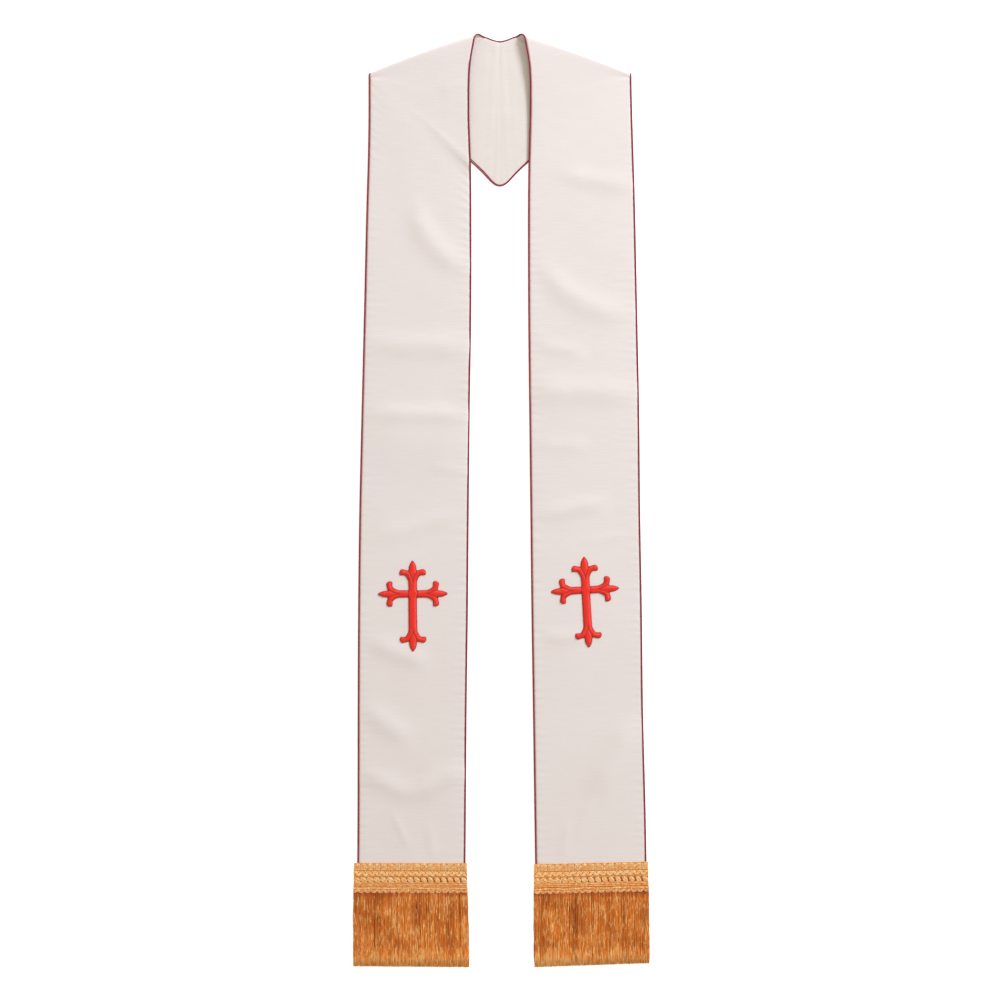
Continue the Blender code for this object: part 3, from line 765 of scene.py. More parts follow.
@dataclass
class Cut:
    """The cut of a half and the way it is folded, by the same sizes as its solids."""

    cloth: float = 1.2 * MM
    seam_out: float = 0.05
    hem_down: dict[Side, float] = field(default_factory=lambda: {Side.LEFT: 1193.0, Side.RIGHT: 1190.0})
    straight_from: float = 335.0
    straight_steps: int = 40
    roll_steps: int = 16
    yoke_steps: int = 40
    shoulder: np.ndarray = field(default_factory=lambda: np.array([182.7, -52.8]) * MM)
    neck: np.ndarray = field(default_factory=lambda: np.array([34.4, 1.2]) * MM)
    crown: float = 2.2 * MM
    roll_at_shoulder: float = 2.6 * MM
    roll_at_neck: float = 5.5 * MM

    @property
    def fold_length(self) -> float:
        """How long the shoulder fold is."""
        return float(np.linalg.norm(self.neck - self.shoulder))

    @property
    def fold_along(self) -> np.ndarray:
        """The way from the shoulder to the neck."""
        return (self.neck - self.shoulder) / self.fold_length

    @property
    def fold_out(self) -> np.ndarray:
        """The way out of the fold, away from the wearer's front."""
        return np.array([self.fold_along[1], -self.fold_along[0]])

    def front_edge(self, side: Side, column: str, down: Any) -> np.ndarray:
        """Points of a front's edge in the plan.

        Args:
            side: The half.
            column: Either outer or inner.
            down: Heights below the neck, in mm.

        Returns:
            One point for each height.
        """
        values = [getattr(row, f"{side.word}_{column}") for row in WIDTHS]
        out = along([row.down for row in WIDTHS], values, np.atleast_1d(down))
        return np.stack([out, -np.atleast_1d(down)], axis=-1) * MM

    def back_edge(self, places: list[Place], out: Any) -> np.ndarray:
        """Points of the yoke's pointed edge or of the back neck, in the plan.

        Args:
            places: The edge's table.
            out: Widths out from the centre back seam, in mm.

        Returns:
            One point for each width.
        """
        down = along([row.out for row in places], [row.down for row in places], np.atleast_1d(out))
        return np.stack([np.atleast_1d(out), -down], axis=-1) * MM

    def roll_radius(self, distance: Any) -> Any:
        """The roll's radius to the middle of the cloth, at a distance from the shoulder."""
        share = np.clip(distance / self.fold_length, 0.0, 1.0)
        return self.roll_at_shoulder + (self.roll_at_neck - self.roll_at_shoulder) * share

    def fold_crown(self, distance: Any) -> Any:
        """How far the fold bows out of its straight line, at a distance from the shoulder."""
        share = np.clip(distance / self.fold_length, 0.0, 1.0)
        return self.crown * 4 * share * (1 - share)

    def fold_depth(self, plan: np.ndarray) -> float:
        """How far a point of the plan lies inside the line where the roll begins."""
        distance = (plan - self.shoulder) @ self.fold_along
        inside = self.fold_crown(distance) - (plan - self.shoulder) @ self.fold_out
        return float(inside - self.roll_radius(distance) - self.cloth / 2)

    def meet_roll(self, edge: Callable[[float], np.ndarray], outside: float, inside: float) -> np.ndarray:
        """Finds where an edge crosses the line where the roll begins.

        Args:
            edge: The edge, by one number.
            outside: That number at a point beyond the line.
            inside: That number at a point within it.

        Returns:
            The number there, and the crossing's distance from the shoulder along the fold.
        """
        for _ in range(40):
            middle = (outside + inside) / 2
            if self.fold_depth(edge(middle)) < 0:
                outside = middle
            else:
                inside = middle
        return np.array([inside, (edge(inside) - self.shoulder) @ self.fold_along])

    def front_rows(self, side: Side, shares: np.ndarray) -> np.ndarray:
        """The rows of a front before its folds, from the hem up to the shoulder roll.

        Args:
            side: The half.
            shares: The columns, from 0 at the outer edge to 1 at the inner one.

        Returns:
            Points by row and column.
        """
        straight = np.linspace(self.hem_down[side], self.straight_from, self.straight_steps + 1)
        columns = ["outer_down", "inner_down", *(f"{side.word}_{at}" for at in ("outer", "middle", "inner"))]
        risen = [[getattr(section, column) for column in columns] for section in SHOULDER]
        table = np.concatenate([[(down, down, 0.0, 0.0, 0.0) for down in straight], risen[::-1]])
        outer = self.front_edge(side, "outer", table[:, 0])[:, None]
        inner = self.front_edge(side, "inner", table[:, 1])[:, None]
        plan = outer + (inner - outer) * shares[None, :, None]
        lift = along([0.0, 0.5, 1.0], table[:, 2:].T, shares).T * MM
        return np.concatenate([plan, (self.cloth / 2 + lift)[..., None]], axis=-1)

    def lay(self, side: Side, shares: np.ndarray, spacing: float) -> Lay:
        """The whole half as it lies, before its folds, from piping line to piping line.

        Args:
            side: The half.
            shares: The columns, from 0 at the outer edge to 1 at the inner one.
            spacing: The most that two rows may lie apart at their middle.

        Returns:
            The rows and where they change.
        """
        outer_top = self.meet_roll(lambda down: self.front_edge(side, "outer", down)[0], 40.0, 70.0)[1]
        inner_top = self.meet_roll(lambda down: self.front_edge(side, "inner", down)[0], 0.0, 30.0)[1]
        yoke_out, outer_back = self.meet_roll(lambda out: self.back_edge(YOKE_EDGE, out)[0], 188.0, 150.0)
        neck_out, neck_back = self.meet_roll(lambda out: self.back_edge(NECK_EDGE, out)[0], 38.0, 8.0)
        fronts = self.front_rows(side, shares)
        rolled = []
        for share in np.linspace(0.0, 1.0, self.roll_steps + 1):
            first = outer_top + (outer_back - outer_top) * share
            last = inner_top + (neck_back - inner_top) * share
            distance = first + (last - first) * shares
            radius = self.roll_radius(distance)
            reach = self.fold_crown(distance) - radius - self.cloth / 2 + radius * math.sin(math.pi * share)
            plan = self.shoulder + np.outer(distance, self.fold_along) + np.outer(reach, self.fold_out)
            height = self.cloth / 2 + radius * (1 + math.cos(math.pi * share))
            rolled.append(np.column_stack([plan, height]))
        steps = np.linspace(0.0, 1.0, self.yoke_steps + 1)[1:]
        outer = self.back_edge(YOKE_EDGE, yoke_out + (self.seam_out - yoke_out) * steps)[:, None]
        inner = self.back_edge(NECK_EDGE, neck_out + (self.seam_out - neck_out) * steps)[:, None]
        plan = outer + (inner - outer) * shares[None, :, None]
        yoke = np.concatenate([plan, np.full((*plan.shape[:2], 1), self.cloth / 2)], axis=-1)
        coarse = np.concatenate([fronts, np.array(rolled), yoke])
        middle = coarse[:, coarse.shape[1] // 2]
        gaps = np.linalg.norm(np.diff(middle, axis=0), axis=1)
        keys = run_lengths(middle)
        places, starts = [], []
        for i, gap in enumerate(gaps):
            starts.append(len(places))
            count = max(1, math.ceil(gap / spacing))
            places += [keys[i] + gap * k / count for k in range(count)]
        places.append(keys[-1])
        rows = along(keys, coarse, places, steady=True)
        rows[..., 2] = np.maximum(rows[..., 2], self.cloth / 2)
        front_count = starts[len(fronts) - 1] + 1
        yoke_from = starts[len(fronts) + len(rolled) - 1]
        return Lay(rows, front_count, yoke_from)

    def drawn_in(self, rows: np.ndarray, inset: float) -> np.ndarray:
        """Draws both ends of each row in from the piping's centre line, square to the edge.

        Args:
            rows: Points by row and column, from piping line to piping line.
            inset: How far the cloth's edge lies from the line.

        Returns:
            The rows of the cloth alone. The last keeps to the centre back seam.
        """
        shifts = []
        for at, toward in ((0, 1), (-1, -2)):
            run = np.gradient(rows[:, at], axis=0)
            run /= np.linalg.norm(run, axis=1, keepdims=True)
            step = rows[:, toward] - rows[:, at]
            inward = step - run * (step * run).sum(axis=1, keepdims=True)
            inward[-1, 0] = 0.0
            inward /= np.linalg.norm(inward, axis=1, keepdims=True)
            shifts.append(inward * inset)
        share = np.linspace(0.0, 1.0, rows.shape[1])[None, :, None]
        made = rows + shifts[0][:, None] * (1 - share) + shifts[1][:, None] * share
        made[..., 2] = np.maximum(made[..., 2], self.cloth / 2)
        return made

    def grain_map(self, rows: np.ndarray) -> np.ndarray:
        """Opens the half out flat about its shoulder fold, so that the weave runs along the front.

        Args:
            rows: Points by row and column, from the hem to the centre back.

        Returns:
            The map's places by row and column, in metres.
        """
        from_shoulder = rows[..., :2] - self.shoulder
        lengthwise = from_shoulder @ self.fold_along
        steps = np.linalg.norm(np.diff(rows, axis=0), axis=2)
        across = np.sqrt(np.maximum(steps**2 - np.diff(lengthwise, axis=0) ** 2, 0.0))
        start = from_shoulder[:1] @ self.fold_out
        outward = np.concatenate([start, start + np.cumsum(across, axis=0)])
        return lengthwise[..., None] * self.fold_along + outward[..., None] * self.fold_out


def edge_distances(rows: np.ndarray) -> tuple[np.ndarray, np.ndarray]:
    """How far each point lies from both ends of its row.

    Args:
        rows: Points by row and column.

    Returns:
        The distances from the first column and from the last.
    """
    steps = np.linalg.norm(np.diff(rows, axis=1), axis=2)
    first = np.concatenate([np.zeros((len(rows), 1)), np.cumsum(steps, axis=1)], axis=1)
    return first, first[:, -1:] - first


def flat_map(rows: np.ndarray) -> np.ndarray:
    """Lays rows of points out flat, in metres, so that the weave keeps its size.

    Args:
        rows: Points by row and column.

    Returns:
        The map's places by row and column.
    """
    first, last = edge_distances(rows)
    lengths = run_lengths(rows[:, rows.shape[1] // 2])
    return np.stack([(first - last) / 2, np.repeat(lengths[:, None], rows.shape[1], axis=1)], axis=-1)


@dataclass
class SeamRelief:
    """The relief that a corded seam gives the cloth beside it: a dip, a soft swell and puckers."""

    swell: float = 0.45 * MM
    dip_width: float = 1.8 * MM
    pucker: float = 0.5 * MM
    pucker_pitch: float = 11.0 * MM
    pucker_reach: float = 9.0 * MM
    drift: float = 1.3
    drift_size: tuple[float, float] = (50.0 * MM, 50.0 * MM)
    pull: tuple[float, float] = (0.5, 0.6)
    pull_size: tuple[float, float] = (28.0 * MM, 28.0 * MM)

    def heights(self, rows: np.ndarray, seed: float) -> np.ndarray:
        """How far the relief lifts each point.

        Args:
            rows: Points by row and column.
            seed: A number that no other sheet has.

        Returns:
            Heights by row and column.
        """
        made = np.zeros(rows.shape[:2])
        nearest = np.full(rows.shape[:2], np.inf)
        for k, (distance, at) in enumerate(zip(edge_distances(rows), (0, -1))):
            edge = rows[:, at]
            drift = rumple(edge, *self.drift_size, seed + 3 * k)
            pulls = self.pull[1] + self.pull[0] * rumple(edge, *self.pull_size, seed + 3 * k + 1)
            turns = run_lengths(edge) / self.pucker_pitch + self.drift * drift
            ripple = np.sin(2 * math.pi * turns)[:, None] * pulls[:, None]
            fade = np.exp(-distance / self.pucker_reach) * (1 - np.exp(-distance / self.dip_width))
            made += self.pucker * ripple * fade
            nearest = np.minimum(nearest, distance)
        return made + self.swell * (1 - np.exp(-nearest / self.dip_width))


@dataclass
class Panel:
    """One half of the stole: front, shoulder roll and half the yoke in one length of cloth."""

    side: Side
    cut: Cut
    columns: int = 64
    spacing: float = 2.7 * MM
    inset: float = 0.9 * MM
    thickness: float = 1.1 * MM
    seams: SeamRelief = field(default_factory=SeamRelief)
    swell: float = 0.14 * MM
    piping_mark: float = 0.4 * MM
    piping_mark_width: float = 3.2 * MM
    piping_mark_from: float = 125.0 * MM
    piping_mark_fade: float = 60.0 * MM
    piping_mark_slope: float = 0.75
    wide_swell: tuple[float, float] = (42.0 * MM, 30.0 * MM)
    fine_swell: tuple[float, float] = (15.0 * MM, 11.0 * MM)
    fine_share: float = 0.3
    rows_to_shoulder: float = 12.0
    rows_past_shoulder: float = 6.0
    yoke_relief: float = 0.2

    def folds(self, points: np.ndarray) -> np.ndarray:
        """How far the soft folds lift the front.

        Args:
            points: Points of the cut, with out and minus down first, in metres.

        Returns:
            One height for each point.
        """
        made = np.zeros(points.shape[:-1])
        for fold in FOLDS[self.side]:
            turn = math.radians(fold.turn)
            dx = points[..., 0] - fold.out * MM
            dy = points[..., 1] + fold.down * MM
            lengthwise = dx * math.cos(turn) + dy * math.sin(turn)
            crosswise = dy * math.cos(turn) - dx * math.sin(turn)
            crosswise -= fold.bend * MM * (lengthwise / (fold.half_length * MM)) ** 2
            taper = smooth(FOLD_TAPER * (1 - np.abs(lengthwise) / (fold.half_length * MM)))
            made += fold.height * MM * taper * np.exp(-((crosswise / (fold.half_width * MM)) ** 2))
        edge = self.cut.back_edge(YOKE_EDGE, np.clip(points[..., 0].ravel() / MM, 0.0, 190.0))
        below = (edge[:, 1].reshape(points.shape[:-1]) - points[..., 1]) * self.piping_mark_slope
        inward = smooth((self.piping_mark_from - points[..., 0]) / self.piping_mark_fade)
        made += self.piping_mark * inward * np.exp(-((below / self.piping_mark_width) ** 2))
        wide = rumple(points, *self.wide_swell, seed=11.0 + self.side.value)
        fine = rumple(points, *self.fine_swell, seed=17.0 + self.side.value)
        return made + self.swell * (wide + 0.5) + self.fine_share * self.swell * fine

    def top_at(self, points: np.ndarray) -> np.ndarray:
        """The height of the front's upper face, away from its edges.

        Args:
            points: Points of the cut, with out and minus down first, in metres.

        Returns:
            One height for each point.
        """
        lifted = np.maximum(self.folds(points) + self.seams.swell, 0.0)
        return self.cut.cloth / 2 + self.thickness / 2 + lifted

    def build(self) -> bpy.types.Object:
        """Makes the half in its cloth.

        Returns:
            The piece, which stands for the solids of the front and of the yoke.
        """
        shares = np.linspace(0.0, 1.0, self.columns + 1)
        lay = self.cut.lay(self.side, shares, self.spacing)
        rows = self.cut.drawn_in(lay.rows, self.inset)
        flat = self.cut.grain_map(rows)
        order = np.arange(len(rows))[:, None]
        on_front = smooth((lay.front_rows - 1 - order) / self.rows_to_shoulder)
        on_yoke = smooth((order - lay.yoke_from) / self.rows_past_shoulder)
        beside_seams = self.seams.heights(rows, seed=5.0) * np.maximum(on_front, self.yoke_relief * on_yoke)
        rows[..., 2] += np.maximum(self.folds(rows) * on_front + beside_seams, 0.0)
        shape = grid_shape(placed(self.side, rows), flat, self.side is Side.RIGHT)
        word = self.side.word
        solids = [f"front_{word}", f"yoke_{word}"]
        return finished(f"half_cloth_{word}", shape, IVORY, solids, self.thickness)


@dataclass
class YokeLining:
    """The lining of half the yoke, which shows in the neck opening, with the centre back seam."""

    side: Side
    cut: Cut
    columns: int = 72
    spacing: float = 2.4 * MM
    inset: float = 0.9 * MM
    thickness: float = 0.8 * MM
    height: float = 1.45 * MM
    shortest: float = 0.06
    seams: SeamRelief = field(default_factory=lambda: SeamRelief(pucker=0.26 * MM))
    seam_dip: float = 0.07 * MM
    seam_width: float = 2.6 * MM
    seam_lap: float = 0.02 * MM
    sunk: float = 0.7 * MM
    sunk_rows: float = 9.0
    pull: float = 0.08 * MM
    pull_pitch: float = 9.0 * MM
    pull_reach: float = 8.0 * MM
    tuck: float = 0.085 * MM
    tuck_width: float = 2.2 * MM
    tuck_slant: float = 38.0 * MM
    tuck_shift: float = 0.9
    tuck_reach: float = 19.0 * MM
    swell: float = 0.25 * MM
    swell_size: tuple[float, float] = (30.0 * MM, 24.0 * MM)

    def relief(self, rows: np.ndarray) -> np.ndarray:
        """The pulls, tucks and dip beside the centre back seam, and the lining's soft swells.

        Args:
            rows: Points by row and column.

        Returns:
            Heights by row and column.
        """
        to_seam = np.abs(rows[..., 0])
        dip = np.exp(-to_seam / self.seam_width)
        pulls = 1 + 0.5 * np.sin(2 * math.pi * rows[..., 1] / self.pull_pitch)
        ripple = self.pull * pulls * np.exp(-to_seam / self.pull_reach) * (1 - dip)
        slant = self.tuck_shift * self.side.value + rows[..., 1] / self.tuck_slant
        tucks = np.sin(to_seam / self.tuck_width + slant) * np.exp(-((to_seam / self.tuck_reach) ** 2))
        ripple += self.tuck * tucks * (1 - dip)
        soft = self.swell * (rumple(rows, *self.swell_size, seed=31.0 + self.side.value) + 0.3)
        return self.seams.heights(rows, seed=41.0) + soft + ripple - self.seam_dip * dip

    def build(self) -> bpy.types.Object:
        """Makes the lining in its cloth.

        Returns:
            The piece, which stands for the lining's solid.
        """
        shares = np.linspace(0.0, 1.0, self.columns + 1)
        lay = self.cut.lay(self.side, shares, self.spacing)
        whole = self.cut.drawn_in(lay.rows, self.inset)[lay.yoke_from :]
        rows = whole[round(self.shortest * len(whole)) :]
        flat = rows[..., :2].copy()
        risen = smooth(np.arange(len(rows))[:, None] / self.sunk_rows)
        rows[..., 2] = self.sunk + (self.height + self.relief(rows) - self.sunk) * risen
        rows[-1, :, 0] = -self.seam_lap
        shape = grid_shape(placed(self.side, rows), flat, self.side is Side.RIGHT)
        for edge in shape.edges:
            edge.smooth = not edge.is_boundary
        word = self.side.word
        return finished(f"yoke_lining_cloth_{word}", shape, LINING, [f"yoke_lining_{word}"], self.thickness)


@dataclass
class Piping:
    """The corded piping of the outer edges and the yoke's point, or of the neck and inner edges."""

    name: str
    node: str
    column: int
    cut: Cut
    radius: float = 1.2 * MM
    height: float = 1.3 * MM
    step: float = 2.2 * MM
    unevenness: float = 0.07
    bump: float = 9.0 * MM

    def edge(self, side: Side) -> np.ndarray:
        """The line of one half's edge, from the hem to the centre back.

        Args:
            side: The half.

        Returns:
            Points in the model's frame.
        """
        lay = self.cut.lay(side, np.linspace(0.0, 1.0, 11), self.step)
        line = lay.rows[:, self.column].copy()
        turn = np.linspace(0.0, math.pi, lay.yoke_from - lay.front_rows + 1)
        lean = self.height - self.cut.cloth / 2
        line[: lay.front_rows, 2] += lean
        line[lay.front_rows : lay.yoke_from + 1, 2] += lean * (0.5 - 0.5 * np.cos(turn))
        line[lay.yoke_from + 1 :, 2] = self.height
        line[-1, 0] = 0.0
        return placed(side, line)

    def build(self) -> bpy.types.Object:
        """Makes the piping, from one hem to the other.

        Returns:
            The piece, which stands for the piping's solid.
        """
        line = np.concatenate([self.edge(Side.LEFT), self.edge(Side.RIGHT)[-2::-1]])
        lengths = run_lengths(line)
        even = np.linspace(0.0, lengths[-1], int(lengths[-1] / self.step) + 1)
        line = np.stack([np.interp(even, lengths, line[:, k]) for k in range(3)], axis=1)
        girth = 1 + self.unevenness * rumple(line, self.bump, self.bump, 3.0 + self.column)
        cord = tubes([line], self.radius, steps=2, girths=[girth])
        return finished(self.name, cord, CRIMSON, [self.node])


class Strip(NamedTuple):
    """How the bias strip shows beside the yoke's cord: its offset and its radius there, in mm."""

    x: float
    offset: float
    radius: float


STRIPS = [
    Strip(-64.0, 1.2, 0.5),
    Strip(-46.0, 2.0, 0.85),
    Strip(-20.0, 1.9, 0.9),
    Strip(-4.0, 1.2, 0.75),
    Strip(10.0, 1.0, 0.6),
    Strip(40.0, 1.3, 0.7),
    Strip(60.0, 1.0, 0.5),
]


@dataclass
class PipingStrip:
    """The edge of the bias strip that shows above the cord along the yoke's point."""

    cut: Cut
    height: float = 1.55 * MM
    step: float = 2.0 * MM

    def build(self) -> bpy.types.Object:
        """Makes the strip from under the one front to under the other.

        Returns:
            The piece.
        """
        first, last = STRIPS[0].x, STRIPS[-1].x
        x = np.linspace(first, last, round((last - first) * MM / self.step))
        table = along([row.x for row in STRIPS], [row[1:] for row in STRIPS], x) * MM
        edge = self.cut.back_edge(YOKE_EDGE, np.abs(x))
        edge[:, 0] *= np.sign(x)
        run = np.gradient(edge, axis=0)
        run /= np.linalg.norm(run, axis=1, keepdims=True)
        inward = np.stack([-run[:, 1], run[:, 0]], axis=-1)
        plan = edge + inward * table[:, :1]
        line = placed(Side.RIGHT, np.column_stack([plan, np.full(len(x), self.height)]))
        return finished("piping_strip", tubes([line], MM, girths=[table[:, 1] / MM]), CRIMSON)


class Petal(NamedTuple):
    """A corner of a cross arm's outline, back from its tip, with its handle, in mm."""

    out: float
    back: float
    handle_x: float
    handle_y: float


FLEUR = [
    Petal(6.2, 31.0, 0.0, 2.0),
    Petal(7.5, 26.2, 0.9, 1.9),
    Petal(12.0, 21.0, 2.0, 0.2),
    Petal(17.7, 20.9, 0.4, 0.2),
    Petal(18.8, 17.0, 0.0, 1.9),
    Petal(14.4, 12.1, -2.4, -0.2),
    Petal(6.0, 13.9, -0.5, 0.2),
    Petal(5.3, 9.2, -0.3, 2.4),
]


class Arm(NamedTuple):
    """An arm of a cross: its half width and its length from the crossing, in mm."""

    half_width: float
    length: float


class Setting(NamedTuple):
    """Where a cross lies on its front: its crossing in mm, its turn in degrees and its four arms."""

    out: float
    down: float
    turn: float
    arms: tuple[Arm, Arm, Arm, Arm]


CROSSES = {
    Side.LEFT: Setting(121.9, 781.8, 0.4, (Arm(6.2, 46.9), Arm(5.4, 49.2), Arm(6.2, 80.9), Arm(5.4, 49.2))),
    Side.RIGHT: Setting(120.5, 776.3, 3.2, (Arm(6.2, 46.9), Arm(5.4, 49.4), Arm(6.2, 80.9), Arm(5.4, 47.0))),
}


@dataclass
class Cross:
    """An embroidered cross with fleur ends, in raised satin stitch."""

    side: Side
    panel: Panel
    at: Setting
    upright: float = 6.2
    beam: float = 5.4
    tip_lean: float = 1.7
    crotch_lean: float = 0.6
    notch: Place = Place(6.0, 14.2)
    vein: Place = Place(1.2, 25.0)
    curl_back: float = 31.0
    fan_from: Place = Place(4.0, 30.0)
    fan_spread: float = 16.0
    fan_out: float = 5.6
    fan_back: float = 29.0
    fan_apart: float = 40.0
    cell: float = 0.8
    rise: float = 2.9
    shoulder: float = 5.8
    groove: float = 0.8
    groove_width: float = 0.8
    groove_from_edge: float = 1.5
    groove_painted_shade: float = 0.7
    painted_shade_reach: float = 2.4
    sink: float = 0.1
    backing: float = 0.5 * MM

    @staticmethod
    def turned(points: np.ndarray, quarter: int) -> np.ndarray:
        """Turns points by quarter turns to the left.

        Args:
            points: Points of the arm that points up.
            quarter: How many quarter turns.

        Returns:
            The points of the turned arm.
        """
        for _ in range(quarter % 4):
            points = np.stack([-points[..., 1], points[..., 0]], axis=-1)
        return points

    def outline(self) -> np.ndarray:
        """The closed outline as short straight runs, in mm from the crossing.

        Returns:
            Its points, anticlockwise.
        """
        knots, handles = [], []
        for quarter, arm in enumerate(self.at.arms):
            narrower = self.upright - arm.half_width
            rising = np.array([(p.out - narrower, arm.length - p.back) for p in FLEUR])
            pulls = np.array([(p.handle_x, p.handle_y) for p in FLEUR])
            inner = self.beam if quarter % 2 == 0 else self.upright
            points = [[(arm.half_width, inner)], rising, [(0.0, arm.length)], rising[::-1] * (-1, 1)]
            leans = [[(0.0, self.crotch_lean)], pulls, [(-self.tip_lean, 0.0)], pulls[::-1] * (1, -1)]
            knots.append(self.turned(np.concatenate(points), quarter))
            handles.append(self.turned(np.concatenate(leans), quarter))
        knot, handle = np.concatenate(knots), np.concatenate(handles)
        end, end_handle = np.roll(knot, -1, axis=0), np.roll(handle, -1, axis=0)
        t = np.linspace(0.0, 1.0, 7)[:-1, None, None]
        a, b = knot + handle, end - end_handle
        line = knot * (1 - t) ** 3 + 3 * a * t * (1 - t) ** 2 + 3 * b * t * t * (1 - t) + end * t**3
        return line.transpose(1, 0, 2).reshape(-1, 2)

    def seam_lines(self) -> np.ndarray:
        """Where one patch of stitches meets the next, as pairs of points in mm."""
        made = []
        for quarter, arm in enumerate(self.at.arms):
            notch = self.notch.out - (self.upright - arm.half_width)
            for way in (-1, 1):
                fork = (way * self.vein.out, arm.length - self.vein.down)
                tip = (way * notch, arm.length - self.notch.down)
                foot = (0.0, arm.length - self.curl_back)
                made += [self.turned(np.array(pair), quarter) for pair in ((tip, fork), (fork, foot))]
        for way in (-1, 1):
            made.append(np.array([(way * self.upright, -self.beam), (way * self.upright, self.beam)]))
        return np.array(made)

    @staticmethod
    def nearest(points: np.ndarray, starts: np.ndarray, ends: np.ndarray) -> tuple[np.ndarray, np.ndarray]:
        """The nearest place on any of some straight runs.

        Args:
            points: The points to look from.
            starts: Where the runs start.
            ends: Where the runs end.

        Returns:
            The distances and the places.
        """
        run = ends - starts
        share = ((points[:, None] - starts) * run).sum(axis=2) / (run * run).sum(axis=1)
        spots = starts + run * np.clip(share, 0.0, 1.0)[..., None]
        gaps = np.linalg.norm(spots - points[:, None], axis=2)
        best = gaps.argmin(axis=1)
        pick = np.arange(len(points))
        return gaps[pick, best], spots[pick, best]

    @staticmethod
    def inside(points: np.ndarray, starts: np.ndarray, ends: np.ndarray) -> np.ndarray:
        """Whether points lie inside a closed line.

        Args:
            points: The points.
            starts: Where the line's runs start.
            ends: Where the line's runs end.

        Returns:
            True for each point inside.
        """
        x, y = points[:, :1], points[:, 1:]
        spans = (starts[:, 1] > y) != (ends[:, 1] > y)
        rise = np.where(ends[:, 1] == starts[:, 1], 1.0, ends[:, 1] - starts[:, 1])
        crossing = starts[:, 0] + (y - starts[:, 1]) * (ends[:, 0] - starts[:, 0]) / rise
        return (spans & (x < crossing)).sum(axis=1) % 2 == 1

    def stitch_phase(self, points: np.ndarray) -> np.ndarray:
        """The distance across the threads, which run across each arm and fan out in the petals.

        Args:
            points: Points of the cross, in mm.

        Returns:
            One distance for each point, in mm.
        """
        x, y = points[:, 0], points[:, 1]
        upright = (np.abs(x) < self.upright + 0.1) | (np.abs(y) > np.abs(x))
        lengthwise, crosswise = np.where(upright, y, x), np.abs(np.where(upright, x, y))
        above, beside, below = (arm.length for arm in self.at.arms[:3])
        back = np.where(upright, np.where(y > 0, above, below), beside) - np.abs(lengthwise)
        angle = np.arctan2(crosswise - self.fan_from.out, np.maximum(self.fan_from.down - back, 1.0))
        petal = (crosswise > self.fan_out) & (back < self.fan_back)
        return np.where(petal, angle * self.fan_spread + self.fan_apart, lengthwise)

    def patch(self, starts: np.ndarray, ends: np.ndarray) -> bmesh.types.BMesh:
        """A flat net of quads cut to the outline, with its rim on the line and its inside evened.

        Args:
            starts: Where the outline's runs start.
            ends: Where the outline's runs end.

        Returns:
            The net, in mm.
        """
        low, high = starts.min(axis=0) - self.cell, starts.max(axis=0) + self.cell
        counts = np.ceil((high - low) / self.cell).astype(int)
        xs, ys = np.linspace(low[0], high[0], counts[0]), np.linspace(low[1], high[1], counts[1])
        net = np.stack([*np.meshgrid(xs, ys), np.zeros((len(ys), len(xs)))], axis=-1)
        shape = grid_shape(net, net[..., :2] * MM, False)
        shape.verts.index_update()
        points = np.array([corner.co[:2] for corner in shape.verts])
        gaps, _ = self.nearest(points, starts, ends)
        signed = np.where(self.inside(points, starts, ends), gaps, -gaps)
        outside = [f for f in shape.faces if sum(signed[v.index] for v in f.verts) < 0]
        bmesh.ops.delete(shape, geom=outside, context="FACES")
        rim = [corner for corner in shape.verts if corner.is_boundary]
        inner = [corner for corner in shape.verts if not corner.is_boundary]
        _, spots = self.nearest(np.array([corner.co[:2] for corner in rim]), starts, ends)
        for corner, spot in zip(rim, spots):
            corner.co.xy = spot
        for _ in range(2):
            bmesh.ops.smooth_vert(shape, verts=inner, factor=0.5, use_axis_x=True, use_axis_y=True)
        return shape

    def build(self) -> bpy.types.Object:
        """Makes the cross on its front.

        Returns:
            The piece, which stands for the cross's solid.
        """
        starts = self.outline()
        ends = np.roll(starts, -1, axis=0)
        shape = self.patch(starts, ends)
        points = np.array([corner.co[:2] for corner in shape.verts])
        depth, _ = self.nearest(points, starts, ends)
        seams = self.seam_lines()
        to_seam, _ = self.nearest(points, seams[:, 0], seams[:, 1])
        cleft = np.exp(-((to_seam / self.groove_width) ** 2))
        cleft *= np.clip(depth / self.groove_from_edge, 0.0, 1.0)
        round_off = np.sqrt(1 - (1 - np.clip(depth / self.shoulder, 0.0, 1.0)) ** 2)
        height = self.rise * round_off - self.groove * cleft - self.sink
        # Painted shade: the tone darkens towards the outline, where the relief rounds away, and in the
        # grooves between patches of stitches.
        tone = np.clip(depth / self.painted_shade_reach, 0.0, 1.0) - self.groove_painted_shade * cleft
        turn = math.radians(self.at.turn)
        facing = np.array([[math.cos(turn), math.sin(turn)], [-math.sin(turn), math.cos(turn)]])
        local = points @ facing * (self.side.value, 1) * MM + np.array([self.at.out, -self.at.down]) * MM
        spots = placed(self.side, np.column_stack([local, self.panel.top_at(local) + height * MM]))
        phase = self.stitch_phase(points) * MM
        # The stitch attribute holds the distance across the threads and, last, the painted shade.
        stitch = shape.verts.layers.float_vector.new("stitch")
        for i, corner in enumerate(shape.verts):
            corner.co = spots[i]
            corner[stitch] = (phase[i], 0.0, tone[i])
        word = self.side.word
        return finished(f"embroidered_cross_{word}", shape, RED, [f"cross_{word}"], self.backing, -1.0)


class Trim(NamedTuple):
    """One side of the trimming of a hem: its top, its strands' roots and their ends."""

    top: Place
    root: Place
    end: Place


